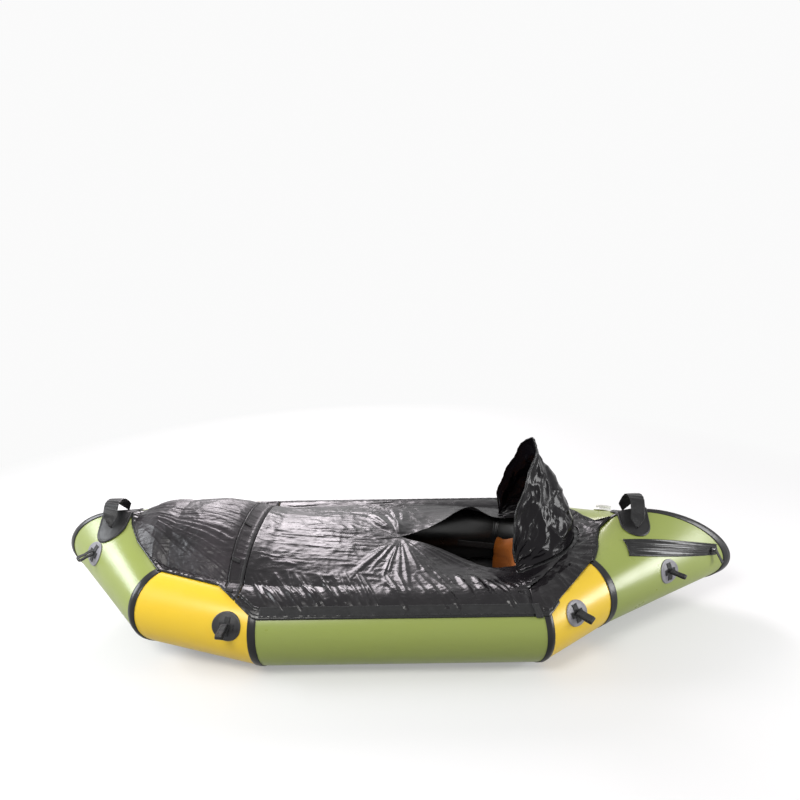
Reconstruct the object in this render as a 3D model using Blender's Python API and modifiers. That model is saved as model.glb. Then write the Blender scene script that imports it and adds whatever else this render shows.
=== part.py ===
# Packraft with a spray deck: an inflated hull of mitred tube sections, a floor sheet, a deck
# whose middle panel rolls open to starboard, a seat, and the fittings on the tubes.
# Metres. X runs from bow to stern, Y to starboard, Z up. The origin is amidships on the
# underside of the floor sheet, which is what the raft rests on.

from collections import namedtuple
from math import asin, atan2, cos, degrees, hypot, pi, radians, sin, sqrt

import bmesh
import bpy
import numpy as np
from mathutils import Matrix, Vector

# Hull outline seen from above: the run along X from seam to seam, and the half width there
BOW_RUN = 0.356
FRONT_RUN = 0.400
SIDE_RUN = 0.923
REAR_RUN = 0.237
STERN_RUN = 0.536
BOW_HALF_WIDTH = 0.379
SIDE_HALF_WIDTH = 0.472
REAR_HALF_WIDTH = 0.311

# Tube radius at each seam, and how high the tube's underside rises there over the floor
BOW_TIP_RADIUS = 0.120
BOW_SEAM_RADIUS = 0.124
SIDE_RADIUS = 0.128
REAR_SEAM_RADIUS = 0.130
STERN_TIP_RADIUS = 0.122
BOW_TIP_RISE = 0.150
BOW_SEAM_RISE = 0.051
REAR_SEAM_RISE = 0.026
STERN_TIP_RISE = 0.108
BOW_TIP_DROOP = 0.027
STERN_TIP_DROOP = 0.074

# Fabrics and the clearances between layers
TUBE_WALL = 0.002
TUBE_SIDES = 24
SLOPE_STEP = 0.002
STEEPEST_SLOPE = 3.0
SEAM_GAP = 0.0004
CLEARANCE = 0.0004
TAPE_WIDTH = 0.024
TAPE_THICKNESS = 0.0012
FLOOR_THICKNESS = 0.003
FLOOR_MARGIN = 0.014
FLOOR_TIP_MARGIN = 0.004
DECK_THICKNESS = 0.0015
PATCH_THICKNESS = 0.0016
PATCH_LIFT = 0.0011
WEBBING_THICKNESS = 0.0024
OVERRUN = 0.02

# Spray deck: the angle round the tube, outboard of its top, at which each edge is fixed
BOW_NOSE_ANGLE = -35.0
BOW_CORNER_ANGLE = -6.0
PORT_EDGE_ANGLE = 43.0
STARBOARD_EDGE_ANGLE = 10.0
REAR_CORNER_ANGLE = 32.0
REAR_SEAM_ANGLE = 7.0
STERN_NOSE_ANGLE = -72.0
LEAVE_ANGLE = -8.0
DECK_RISE = 0.112
FOLD_HEIGHT = 0.005
FOLD_SPREAD = 0.30
FOLD_COUNT = 11
COCKPIT_SAG = 0.026
BAND_WIDTH = 0.050
BAND_OFFSET = 0.112
SEAM_INSET = 0.172
HEM_SETBACK = 0.222
HEM_SWEEP = 0.262
HEM_GAP = 0.008
HOOK_STRIP_WIDTH = 0.034
COCKPIT_LENGTH = 0.600
COCKPIT_PORT = 0.170
COCKPIT_STARBOARD = 0.195
COCKPIT_END_MARGIN = 0.045

# Collar behind the cockpit
COLLAR_HEIGHT = 0.330
COLLAR_LEAN = 0.176
COLLAR_HALF_WIDTH = 0.205
COLLAR_LENGTH = 0.235
COLLAR_THICKNESS = 0.0018
COLLAR_FOLD_DEPTH = 0.006
COLLAR_FOLD_COUNT = 7
COLLAR_TAB_WIDTH = 0.016
COLLAR_SEAM_LIFT = 0.0014
COLLAR_NARROWING = 0.35
COAMING_RISE = 0.045
COLLAR_MOUTH_SWEEP = 0.042

# Seat
SEAT_LENGTH = 0.340
SEAT_WIDTH = 0.290
SEAT_HEIGHT = 0.066
SEAT_CHANNELS = 3
SEAT_REAR_SHARE = 0.88
CHANNEL_DEPTH = 0.012
BACKREST_HEIGHT = 0.252
BACKREST_ARM_HEIGHT = 0.180
BACKREST_THICKNESS = 0.046
BACKREST_HALF_WIDTH = 0.196
BACKREST_REAR = 0.448
BACKREST_BEND_RADIUS = 0.300
SEAT_SPACE = 0.004
SEAT_STRAP_WIDTH = 0.025
SEAT_STRAP_LENGTH = 0.150
SEAT_STRAP_THICKNESS = 0.0016

# Fittings on the tubes
PATCH_RADIUS = 0.043
FRONT_PATCH_RADIUS = 0.047
LOOP_LENGTH = 0.058
LOOP_WIDTH = 0.022
LOOP_EYE = 0.0125
LOOP_DROOP = 12.0
BOW_PAD_LENGTH = 0.246
STERN_PAD_LENGTH = 0.206
PAD_WIDTH = 0.105
PAD_SETBACK = 0.207
STERN_PAD_MARGIN = 0.0277
HANDLE_WIDTH = 0.050
HANDLE_SPAN = 0.150
BOW_HANDLE_ROOM = 0.042
STERN_HANDLE_ROOM = 0.056
FOOT_RADIUS = 0.004
FOOT_SPREAD = 0.70
PAD_BRIDGE = 0.050
PAD_CROWN = 0.0020
VALVE_RADIUS = 0.034
VALVE_HEIGHT = 0.010
VALVE_BORE_RADIUS = 0.018
CAP_RADIUS = 0.028
CAP_HEIGHT = 0.012
CAP_PLUG_DEPTH = 0.007
PLUG_PLAY = 0.001
ZIP_WIDTH = 0.070
ZIP_TIP_WIDTH = 0.040
ZIP_THICKNESS = 0.0022
ZIP_LIFT = 0.0011
ZIP_TURN = 62.0
SLIDER_LENGTH = 0.026
SLIDER_WIDTH = 0.014
SLIDER_HEIGHT = 0.008
SLIDER_LIFT = 0.0024
ARC_LIFT = 0.0042
PULL_LENGTH = 0.060
PULL_WIDTH = 0.014
PULL_THICKNESS = 0.003
DECK_TAB_LENGTH = 0.045
DECK_TAB_WIDTH = 0.020

TAPE_LIFT = CLEARANCE
PAD_LIFT = TAPE_LIFT + TAPE_THICKNESS + 3 * CLEARANCE
DECK_LIFT = TAPE_LIFT + TAPE_THICKNESS + 5 * CLEARANCE
LAYER_LIFT = DECK_LIFT + DECK_THICKNESS + CLEARANCE
SIDE_RISE = FLOOR_THICKNESS + TAPE_LIFT + TAPE_THICKNESS + CLEARANCE
HULL_LENGTH = BOW_RUN + FRONT_RUN + SIDE_RUN + REAR_RUN + STERN_RUN
PORT = -1
STARBOARD = 1
SIDES = {"port": PORT, "starboard": STARBOARD}

Ring = namedtuple("Ring", "centre across radius droop")


# Start from an empty scene
for existing in list(bpy.data.objects):
    bpy.data.objects.remove(existing, do_unlink=True)
raft = bpy.data.collections.new("packraft")
bpy.context.scene.collection.children.link(raft)


def fabric(name, colour, roughness, metallic=0.0):
    """A plain Principled material."""
    made = bpy.data.materials.new(name)
    made.use_nodes = True
    shader = made.node_tree.nodes["Principled BSDF"]
    shader.inputs["Base Color"].default_value = (*colour, 1.0)
    shader.inputs["Roughness"].default_value = roughness
    shader.inputs["Metallic"].default_value = metallic
    return made


GREEN = fabric("green_coated_fabric", (0.32, 0.41, 0.09), 0.40)
YELLOW = fabric("yellow_coated_fabric", (0.95, 0.70, 0.03), 0.40)
BLACK_TAPE = fabric("black_seam_tape", (0.012, 0.012, 0.014), 0.45)
DECK_CLOTH = fabric("black_deck_cloth", (0.016, 0.015, 0.018), 0.22)
WEBBING = fabric("black_webbing", (0.010, 0.010, 0.011), 0.75)
GREY_PATCH = fabric("grey_patch_fabric", (0.16, 0.16, 0.19), 0.50)
HOOK_TAPE = fabric("hook_and_loop_tape", (0.014, 0.014, 0.015), 0.90)
ORANGE = fabric("orange_seat_fabric", (0.62, 0.13, 0.02), 0.50)
FLOOR_FABRIC = fabric("floor_fabric", (0.03, 0.03, 0.03), 0.60)
WHITE_PLASTIC = fabric("white_plastic", (0.80, 0.80, 0.78), 0.35)
BLACK_PLASTIC = fabric("black_plastic", (0.02, 0.02, 0.02), 0.40)


def link_piece(name, mesh, material, smooth_angle=40.0):
    """Names a finished mesh as one piece of the raft."""
    mesh.name = name
    mesh.materials.append(material)
    mesh.shade_smooth()
    mesh.set_sharp_from_angle(angle=radians(smooth_angle))
    piece = bpy.data.objects.new(name, mesh)
    raft.objects.link(piece)
    return piece


def mesh_of(bm):
    mesh = bpy.data.meshes.new("mesh")
    bm.to_mesh(mesh)
    bm.free()
    return mesh


def solid_of_layers(name, outer, inner, material, around=False):
    """A closed solid between two matching grids of points, which may close round on themselves."""
    bm = bmesh.new()
    rows, columns = len(outer), len(outer[0])
    layers = [[[bm.verts.new(p) for p in row] for row in layer] for layer in (outer, inner)]
    steps = columns if around else columns - 1
    for layer in layers:
        for i in range(rows - 1):
            for j in range(steps):
                k = (j + 1) % columns
                bm.faces.new((layer[i][j], layer[i][k], layer[i + 1][k], layer[i + 1][j]))
    top, bottom = layers
    for i in (0, rows - 1):
        for j in range(steps):
            k = (j + 1) % columns
            bm.faces.new((top[i][j], top[i][k], bottom[i][k], bottom[i][j]))
    if not around:
        for j in (0, columns - 1):
            for i in range(rows - 1):
                bm.faces.new((top[i][j], top[i + 1][j], bottom[i + 1][j], bottom[i][j]))
    bmesh.ops.recalc_face_normals(bm, faces=bm.faces)
    return link_piece(name, mesh_of(bm), material)


def lofted(name, rings, material):
    """A closed solid through rings of points, capped at both ends."""
    bm = bmesh.new()
    verts = [[bm.verts.new(p) for p in ring] for ring in rings]
    for low, high in zip(verts, verts[1:]):
        for k in range(len(low)):
            m = (k + 1) % len(low)
            bm.faces.new((low[k], low[m], high[m], high[k]))
    bm.faces.new(verts[0])
    bm.faces.new(list(reversed(verts[-1])))
    bmesh.ops.recalc_face_normals(bm, faces=bm.faces)
    return link_piece(name, mesh_of(bm), material)


def cloth_sheet(name, patches, material, thickness, towards=(0, 0, 1)):
    """A thin sheet from grids of points that may share edges, thickened on the side of 'towards'."""
    bm = bmesh.new()
    for grid in patches:
        verts = [[bm.verts.new(p) for p in row] for row in grid]
        for low, high in zip(verts, verts[1:]):
            for a, b, c, d in zip(low, low[1:], high[1:], high):
                if (c.co - a.co).length > CLEARANCE and (b.co - d.co).length > CLEARANCE:
                    bm.faces.new((a, b, c, d))
    bmesh.ops.remove_doubles(bm, verts=bm.verts, dist=CLEARANCE / 8)
    bmesh.ops.recalc_face_normals(bm, faces=bm.faces)
    facing = sum((f.normal * f.calc_area() for f in bm.faces), Vector())
    if facing.dot(Vector(towards)) < 0:
        bmesh.ops.reverse_faces(bm, faces=bm.faces)
    piece = link_piece(name, mesh_of(bm), material)
    shell = piece.modifiers.new("thickness", "SOLIDIFY")
    shell.thickness = thickness
    shell.offset = 1.0
    return piece


def on_joint(piece, axis_point):
    """Puts a moving piece's origin on its joint's axis without moving its shape."""
    piece.data.transform(Matrix.Translation(-axis_point))
    piece.location = axis_point
    return piece


# The hull's frame: one ring at each seam, in the upright plane that halves the turn there
def outline_points():
    """The outer line's corners on the port side, from bow to stern."""
    x = -HULL_LENGTH / 2
    points = [Vector((x, 0.0))]
    runs = (BOW_RUN, FRONT_RUN, SIDE_RUN, REAR_RUN)
    widths = (BOW_HALF_WIDTH, SIDE_HALF_WIDTH, SIDE_HALF_WIDTH, REAR_HALF_WIDTH)
    for run, width in zip(runs, widths):
        x += run
        points.append(Vector((x, -width)))
    points.append(Vector((HULL_LENGTH / 2, 0.0)))
    return points


def hull_rings():
    """Port rings; a ring's 'across' runs outboard and is stretched by the slant of its plane."""
    outline = outline_points()
    radii = (BOW_TIP_RADIUS, BOW_SEAM_RADIUS, SIDE_RADIUS, SIDE_RADIUS, REAR_SEAM_RADIUS, STERN_TIP_RADIUS)
    rises = (BOW_TIP_RISE, BOW_SEAM_RISE, SIDE_RISE, SIDE_RISE, REAR_SEAM_RISE, STERN_TIP_RISE)
    droops = (BOW_TIP_DROOP, 0.0, 0.0, 0.0, 0.0, STERN_TIP_DROOP)
    runs = [(b - a).normalized() for a, b in zip(outline, outline[1:])]
    inward = [Vector((-run.y, run.x)) for run in runs]
    last = len(outline) - 1
    rings = []
    for i, point in enumerate(outline):
        if i == 0:
            direction = Vector((1.0, 0.0))
        elif i == last:
            direction = Vector((-1.0, 0.0))
        else:
            direction = (inward[i - 1] + inward[i]).normalized()
        reach = radii[i] / direction.dot(inward[min(i, last - 1)])
        centre = point + direction * reach
        rings.append(
            Ring(
                Vector((centre.x, centre.y, rises[i] + radii[i])),
                Vector((-direction.x * reach, -direction.y * reach, 0.0)),
                radii[i],
                droops[i],
            )
        )
    return rings


RINGS = hull_rings()
SECTIONS = range(len(RINGS) - 1)
BOW, FRONT, SIDE, REAR, STERN = SECTIONS


def ring_between(section, share):
    low, high = RINGS[section], RINGS[section + 1]
    return Ring(*(a + (b - a) * share for a, b in zip(low, high)))


def section_length(section):
    return (RINGS[section + 1].centre - RINGS[section].centre).length


def slant(section, end):
    """Cosine of the angle between a section's run and the line square to the seam at its end."""
    run = (RINGS[section + 1].centre - RINGS[section].centre).xy.normalized()
    across = RINGS[section + end].across.xy.normalized()
    return abs(run.cross(across))


def tube_point(side, section, share, angle, lift=0.0):
    """A point on or over the tube; the angle is in degrees from its top, positive outboard."""
    ring = ring_between(section, share)
    turn = radians(angle)
    out = ring.across * sin(turn) + Vector((0, 0, ring.radius * cos(turn) - ring.droop * sin(turn)))
    point = ring.centre + out * (1 + lift / ring.radius)
    return Vector((point.x, -side * point.y, point.z))


def tube_frame(side, section, share, angle):
    """A spot's place, and its directions along the tube to the stern, round it outboard, and out."""
    small = 0.01
    place = tube_point(side, section, share, angle)
    along = tube_point(side, section, share + small, angle) - tube_point(side, section, share - small, angle)
    around = tube_point(side, section, share, angle + 1) - tube_point(side, section, share, angle - 1)
    along, around = along / (2 * small), around / 2
    out = along.cross(around).normalized() * side
    return place, along, around, out


def tube_spot(side, section, share, angle, step_along, step_out, lift=0.0):
    """A point on the tube that lies a step along and a step round from a spot on it."""
    _, along, around, _ = tube_frame(side, section, share, angle)
    direction = along.normalized()
    square = (around - direction * around.dot(direction)).normalized()
    turn = step_out / around.dot(square)
    move = (step_along - around.dot(direction) * turn) / along.length
    return tube_point(side, section, share + move, angle + turn, lift)


def place_on_tube(x, y):
    """Section, share along it, and outboard share of the half width under a point seen from above."""
    for section in SECTIONS:
        low, high = RINGS[section], RINGS[section + 1]

        def side_of(share):
            centre = low.centre.lerp(high.centre, share)
            across = low.across.lerp(high.across, share)
            return (Vector((x, -abs(y))) - centre.xy).cross(across.xy)

        start, end = 0.0, 1.0
        if side_of(start) * side_of(end) > 0:
            continue
        for _ in range(30):
            middle = (start + end) / 2
            if side_of(start) * side_of(middle) <= 0:
                end = middle
            else:
                start = middle
        ring = ring_between(section, end)
        offset = (Vector((x, -abs(y))) - ring.centre.xy).dot(ring.across.xy)
        outboard = offset / ring.across.xy.length_squared
        if abs(outboard) <= 1:
            return section, end, outboard
    return None


def bare_height(x, y):
    """Height of the tube's upper surface at a point seen from above, or None beside it."""
    found = place_on_tube(x, y)
    if found is None:
        return None
    section, share, outboard = found
    ring = ring_between(section, share)
    return ring.centre.z + ring.radius * sqrt(1 - outboard**2) - ring.droop * outboard


def tube_height(x, y, lift=0.0):
    """Height at which something lies on the tube, its lift measured square to the slope."""
    height = bare_height(x, y)
    if height is None or lift == 0.0:
        return height
    slopes = []
    for dx, dy in ((SLOPE_STEP, 0), (0, SLOPE_STEP)):
        ends = bare_height(x + dx, y + dy), bare_height(x - dx, y - dy)
        known = [height if end is None else end for end in ends]
        span = SLOPE_STEP * (2 - ends.count(None))
        slopes.append((known[0] - known[1]) / span if span else 0.0)
    return height + lift * sqrt(1 + min(slopes[0] ** 2 + slopes[1] ** 2, STEEPEST_SLOPE**2))


def even(count):
    return [k / count for k in range(count + 1)]


def crowded(count):
    """Shares from 0 to 1 that lie closer at both ends."""
    return [(1 - cos(pi * k / count)) / 2 for k in range(count + 1)]


# Inflated tubes: five mitred sections a side, open to each other at the seams
SECTION_STEPS = {BOW: 3, FRONT: 1, SIDE: 1, REAR: 1, STERN: 4}


def end_share(section, end, width):
    """Share of a section's length that a seam's band of this width takes at one end."""
    return width / 2 / slant(section, end) / section_length(section)


def tube_section(name, side, section, material):
    start, end = (end_share(section, k, TAPE_WIDTH) for k in (0, 1))
    shares = [end_share(section, 0, SEAM_GAP)]
    shares += [start + (1 - start - end) * s for s in even(SECTION_STEPS[section])]
    shares.append(1 - end_share(section, 1, SEAM_GAP))
    turns = [360.0 * k / TUBE_SIDES for k in range(TUBE_SIDES)]
    outer = [[tube_point(side, section, s, t) for t in turns] for s in shares]
    inner = [[tube_point(side, section, s, t, -TUBE_WALL) for t in turns] for s in shares]
    return solid_of_layers(name, outer, inner, material, around=True)


def seam_tape(name, side, ring_number):
    """A band over the seam between two sections, bent at the seam."""
    turns = [360.0 * k / TUBE_SIDES for k in range(TUBE_SIDES)]
    layers = []
    for lift in (TAPE_LIFT + TAPE_THICKNESS, TAPE_LIFT):
        before, after = ring_number - 1, ring_number
        start = 1 - end_share(before, 1, TAPE_WIDTH)
        end = end_share(after, 0, TAPE_WIDTH)
        layers.append(
            [
                [tube_point(side, before, start, t, lift) for t in turns],
                [tube_point(side, after, 0.0, t, lift) for t in turns],
                [tube_point(side, after, end, t, lift) for t in turns],
            ]
        )
    return solid_of_layers(name, *layers, BLACK_TAPE, around=True)


def tip_tape(name, section, end):
    """The band over the seam at the bow or stern, where the two sides meet."""
    turns = [360.0 * k / TUBE_SIDES for k in range(TUBE_SIDES)]
    share = abs(end - end_share(section, end, TAPE_WIDTH))
    layers = []
    for lift in (2 * TAPE_LIFT + TAPE_THICKNESS, 2 * TAPE_LIFT):
        layers.append(
            [
                [tube_point(PORT, section, share, t, lift) for t in turns],
                [tube_point(PORT, section, end, t, lift) for t in turns],
                [tube_point(STARBOARD, section, share, t, lift) for t in turns],
            ]
        )
    return solid_of_layers(name, *layers, BLACK_TAPE, around=True)


TUBE_NAMES = {BOW: "bow", FRONT: "front_corner", SIDE: "side", REAR: "rear_corner", STERN: "stern"}
YELLOW_SECTIONS = (FRONT, REAR)
SEAM_NAMES = {1: "bow_seam", 2: "front_seam", 3: "rear_seam", 4: "stern_seam"}
for side_name, side in SIDES.items():
    for section, tube_name in TUBE_NAMES.items():
        colour = YELLOW if section in YELLOW_SECTIONS else GREEN
        tube_section(f"{side_name}_{tube_name}_tube", side, section, colour)
    for ring_number, seam_name in SEAM_NAMES.items():
        seam_tape(f"{side_name}_{seam_name}_tape", side, ring_number)
tip_tape("bow_tip_tape", BOW, 0)
tip_tape("stern_tip_tape", STERN, 1)


# Floor sheet: flat amidships, rising with the undersides of the tubes to bow and stern
def floor_sheet():
    steps = {BOW: 4, FRONT: 2, SIDE: 2, REAR: 2, STERN: 4}
    rows = []
    for section in SECTIONS:
        for step in range(steps[section]):
            rows.append((section, step / steps[section]))
    rows.append((STERN, 1.0))
    top, bottom = [], []
    for section, share in rows:
        ring = ring_between(section, share)
        margin = FLOOR_MARGIN if 0 < section + share < STERN + 1 else FLOOR_TIP_MARGIN
        edge = ring.centre.xy + ring.across.xy.normalized() * margin
        half = max(-edge.y, margin)
        line = [half * (2 * s - 1) for s in even(4)]
        height = floor_height(section, share)
        bottom.append([Vector((edge.x, y, height)) for y in line])
        top.append([Vector((edge.x, y, height + FLOOR_THICKNESS)) for y in line])
    return solid_of_layers("floor_sheet", top, bottom, FLOOR_FABRIC)


def floor_height(section, share):
    """Underside of the floor sheet below a ring, clear of the tube where its section droops."""
    ring = ring_between(section, share)
    outboard = FLOOR_MARGIN / ring.across.length
    droop = ring.droop * outboard * 2
    return ring.centre.z - ring.radius - SIDE_RISE - droop


def floor_top(x):
    """Top of the floor sheet at an X amidships or aft."""
    share = max(0.0, (x - RINGS[REAR].centre.x) / (RINGS[STERN].centre.x - RINGS[REAR].centre.x))
    return floor_height(REAR, share) + FLOOR_THICKNESS


floor_sheet()


# Spray deck. Its edges lie on the tubes, and between them it rises in a crown.
def edge_line(angles):
    """Points of a deck edge seen from above, bow to stern, from (section, share, angle) rows."""
    points = []
    for (section, share, angle), (next_section, next_share, next_angle) in zip(angles, angles[1:]):
        for step in range(6):
            f = step / 6
            here = section + share + (next_section + next_share - section - share) * f
            number = min(int(here), STERN)
            points.append(tube_point(PORT, number, here - number, angle + (next_angle - angle) * f))
    section, share, angle = angles[-1]
    points.append(tube_point(PORT, section, share, angle))
    return np.array([(p.x, -p.y) for p in points])


BOW_EDGE = [
    (BOW, 0.0, BOW_NOSE_ANGLE),
    (BOW, 0.25, BOW_NOSE_ANGLE * 0.60),
    (BOW, 0.55, BOW_NOSE_ANGLE * 0.28),
    (FRONT, 0.0, BOW_CORNER_ANGLE),
]
STERN_EDGE = [
    (STERN, 0.0, REAR_SEAM_ANGLE),
    (STERN, 0.35, STERN_NOSE_ANGLE * 0.46),
    (STERN, 0.72, STERN_NOSE_ANGLE * 0.90),
    (STERN, 1.0, STERN_NOSE_ANGLE),
]
PORT_EDGE = [
    (FRONT, 0.62, 0.0),
    (SIDE, 0.02, PORT_EDGE_ANGLE),
    (REAR, 0.02, PORT_EDGE_ANGLE),
    (REAR, 0.26, REAR_CORNER_ANGLE),
]
STARBOARD_EDGE = [
    (FRONT, 0.62, STARBOARD_EDGE_ANGLE / 2),
    (SIDE, 0.02, STARBOARD_EDGE_ANGLE),
    (REAR, 0.02, STARBOARD_EDGE_ANGLE),
]
EDGES = {
    PORT: edge_line(BOW_EDGE + PORT_EDGE + STERN_EDGE),
    STARBOARD: edge_line(BOW_EDGE + STARBOARD_EDGE + STERN_EDGE),
}
CREST = edge_line([(BOW, 0.0, LEAVE_ANGLE), (STERN, 1.0, LEAVE_ANGLE)])
SIDE_START = RINGS[2].centre.x
SIDE_END = RINGS[3].centre.x
BAND_FRONT = SIDE_START - BAND_OFFSET
BAND_REAR = BAND_FRONT + BAND_WIDTH
COCKPIT_REAR = SIDE_END + HEM_SETBACK - COCKPIT_END_MARGIN
COCKPIT_FRONT = COCKPIT_REAR - COCKPIT_LENGTH
FOLD_SEAM = SIDE_HALF_WIDTH - SEAM_INSET
NOSE_START = CLEARANCE * 10


def edge_y(side, x):
    """Signed Y of the deck's edge at an X."""
    line = EDGES[side]
    return side * float(np.interp(x, line[:, 0], line[:, 1]))


def eased(value, knots, heights):
    """A smooth curve through a few points, level where it turns back."""
    place = min(max(value, knots[0]), knots[-1])
    i = min(max(int(np.searchsorted(knots, place)) - 1, 0), len(knots) - 2)
    slopes = [0.0]
    for k in range(1, len(knots) - 1):
        before = (heights[k] - heights[k - 1]) / (knots[k] - knots[k - 1])
        after = (heights[k + 1] - heights[k]) / (knots[k + 1] - knots[k])
        slopes.append(0.0 if before * after <= 0 else 2 * before * after / (before + after))
    slopes.append(0.0)
    width = knots[i + 1] - knots[i]
    t = (place - knots[i]) / width
    start, end = heights[i], heights[i + 1]
    return (
        (2 * t**3 - 3 * t**2 + 1) * start
        + (t**3 - 2 * t**2 + t) * width * slopes[i]
        + (3 * t**2 - 2 * t**3) * end
        + (t**3 - t**2) * width * slopes[i + 1]
    )


# Crown of the deck, as shares of the way from its nose to its stern end and of DECK_RISE
CROWN_PLACE_SHARES = (0.0, 0.035, 0.07, 0.115, 0.165, 0.215, 0.26, 0.42, 0.58, 0.80, 1.0)
CROWN_HEIGHT_SHARES = (0.0, 0.42, 0.76, 0.94, 1.0, 0.86, 0.56, 0.30, 0.10, 0.10, 0.0)
DECK_NOSE = float(EDGES[PORT][0, 0])
DECK_END = float(EDGES[PORT][-1, 0])


def bump(value, start, end):
    """Rises from 0 at start to 1 midway and falls to 0 at end."""
    share = (value - start) / (end - start)
    return sin(pi * share) ** 2 if 0 < share < 1 else 0.0


def deck_height(x, y, lift=DECK_LIFT):
    """Height of the deck's underside at a point seen from above."""
    side = PORT if y < 0 else STARBOARD
    crest = float(np.interp(x, CREST[:, 0], CREST[:, 1]))
    anchor = min(abs(edge_y(PORT, x)), abs(edge_y(STARBOARD, x)), crest)
    resting = tube_height(x, y, lift)
    if abs(y) >= anchor and resting is not None:
        return resting
    base = tube_height(x, anchor, lift)
    if base is None:
        base = tube_point(PORT, STERN, 1.0, STERN_NOSE_ANGLE, lift).z
    share = (x - DECK_NOSE) / (DECK_END - DECK_NOSE)
    rise = DECK_RISE * eased(share, CROWN_PLACE_SHARES, CROWN_HEIGHT_SHARES)
    across = min(abs(y) / anchor, 1.0)
    sag = 0.0
    if side == PORT:
        sag = COCKPIT_SAG * bump(x, COCKPIT_FRONT, COCKPIT_REAR) * bump(across, 0.0, 1.0)
    height = base + rise * (1 - across**2.5) - sag + deck_fold(x, y) * (1 - across**4)
    return height if resting is None else max(height, resting)


def deck_fold(x, y):
    """Ridges that run out from the front of the cockpit over the deck before it."""
    along, off = x - COCKPIT_FRONT, y
    reach = hypot(along, off)
    turn = atan2(off, -along)
    fade = bump(reach, 0.0, 2 * FOLD_SPREAD)
    return FOLD_HEIGHT * fade * sin(FOLD_COUNT * turn) if abs(turn) < pi / 2 else 0.0


def deck_point(x, y, lift=DECK_LIFT):
    return Vector((x, y, deck_height(x, y, lift)))


def deck_row(x, start, end, shares, lift=DECK_LIFT):
    """Points across the deck at one X."""
    return [deck_point(x, start + (end - start) * s, lift) for s in shares]


BOW_DECK_ROWS = 12
nose = DECK_NOSE + NOSE_START
bow_rows = [nose + (BAND_FRONT - 3 * CLEARANCE - nose) * s**1.5 for s in even(BOW_DECK_ROWS)]
cloth_sheet(
    "bow_deck",
    [[deck_row(x, edge_y(PORT, x), edge_y(STARBOARD, x), crowded(14)) for x in bow_rows]],
    DECK_CLOTH,
    DECK_THICKNESS,
)

band_rows = [BAND_FRONT + BAND_WIDTH * s for s in even(2)]
cloth_sheet(
    "deck_join_band",
    [[deck_row(x, edge_y(PORT, x), edge_y(STARBOARD, x), crowded(16)) for x in band_rows]],
    HOOK_TAPE,
    DECK_THICKNESS,
)

# Middle panel: it is sewn along the fold seam to starboard and held by hook tape to port
def hem_x(y):
    """The line behind the collar where the middle panel ends."""
    share = min(abs(y) / (SIDE_HALF_WIDTH - SIDE_RADIUS), 1.0)
    return SIDE_END + HEM_SETBACK - HEM_SWEEP * ((share**2 + 0.02) ** 0.625 - 0.02**0.625)


def cockpit_half_widths(x):
    """Distances from the middle line to the cockpit's edges, which open out from a point."""
    share = (x - COCKPIT_FRONT) / COCKPIT_LENGTH
    if share <= 0 or share >= 1:
        return 0.0, 0.0
    shape = min(share / 0.62, 1.0) ** 0.9 * sqrt(max(0.0, 1 - max(0.0, (share - 0.62) / 0.38) ** 2.6))
    return COCKPIT_PORT * shape, COCKPIT_STARBOARD * shape


PANEL_FRONT = BAND_REAR + 3 * CLEARANCE
PANEL_LENGTH = hem_x(0.0) - PANEL_FRONT
front_share = (COCKPIT_FRONT - PANEL_FRONT) / PANEL_LENGTH
rear_share = (COCKPIT_REAR - PANEL_FRONT) / PANEL_LENGTH
EDGE_LENGTH = hem_x(SIDE_HALF_WIDTH) - PANEL_FRONT
kink_shares = [(SIDE_START - OVERRUN * k - PANEL_FRONT) / EDGE_LENGTH for k in (1.2, 0.3, -0.8)]
COCKPIT_STEP_SHARES = (0.08, 0.2, 0.35, 0.5, 0.65, 0.8, 0.92, 1.0)
panel_shares = [0.0, *kink_shares]
panel_shares += [kink_shares[-1] + (front_share - kink_shares[-1]) * s for s in even(5)[1:]]
panel_shares += [front_share + (rear_share - front_share) * s for s in COCKPIT_STEP_SHARES]
panel_shares.append(1.0)


def coaming(x):
    """Share of its full rise that the cockpit's starboard rim has at an X, up to the collar."""
    length = SIDE_END - COLLAR_HALF_WIDTH / 4 - COCKPIT_FRONT
    share = min(max((x - COCKPIT_FRONT) / length, 0.0), 1.0)
    return bump(share**1.8, 0.0, 1.0)


def panel_patch(side):
    """Half of the middle panel, from the middle line or the cockpit's edge to the panel's edge."""
    grid = []
    for share in panel_shares:
        x_middle = PANEL_FRONT + (hem_x(0.0) - PANEL_FRONT) * share
        near = cockpit_half_widths(x_middle)[0 if side == PORT else 1] * side
        row = []
        for s in crowded(13 if side == PORT else 8):
            y, x = near, x_middle
            for _ in range(4):
                far = edge_y(PORT, x) if side == PORT else FOLD_SEAM - CLEARANCE
                y = near + (far - near) * s
                x = PANEL_FRONT + (hem_x(y) - PANEL_FRONT) * share
            point = deck_point(x, y)
            if side == STARBOARD:
                point.z += COAMING_RISE * coaming(x) * (1 - s) ** 3
            row.append(point)
        grid.append(row)
    return grid


cloth_sheet("middle_deck_panel", [panel_patch(PORT), panel_patch(STARBOARD)], DECK_CLOTH, DECK_THICKNESS)
fold_rows = [PANEL_FRONT + EDGE_LENGTH * s for s in even(20)]
fold_height = max(deck_height(x, FOLD_SEAM) for x in fold_rows) + DECK_THICKNESS + CLEARANCE
fold_axis = Vector((0.0, FOLD_SEAM, fold_height))
on_joint(bpy.data.objects["middle_deck_panel"], fold_axis)

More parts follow.
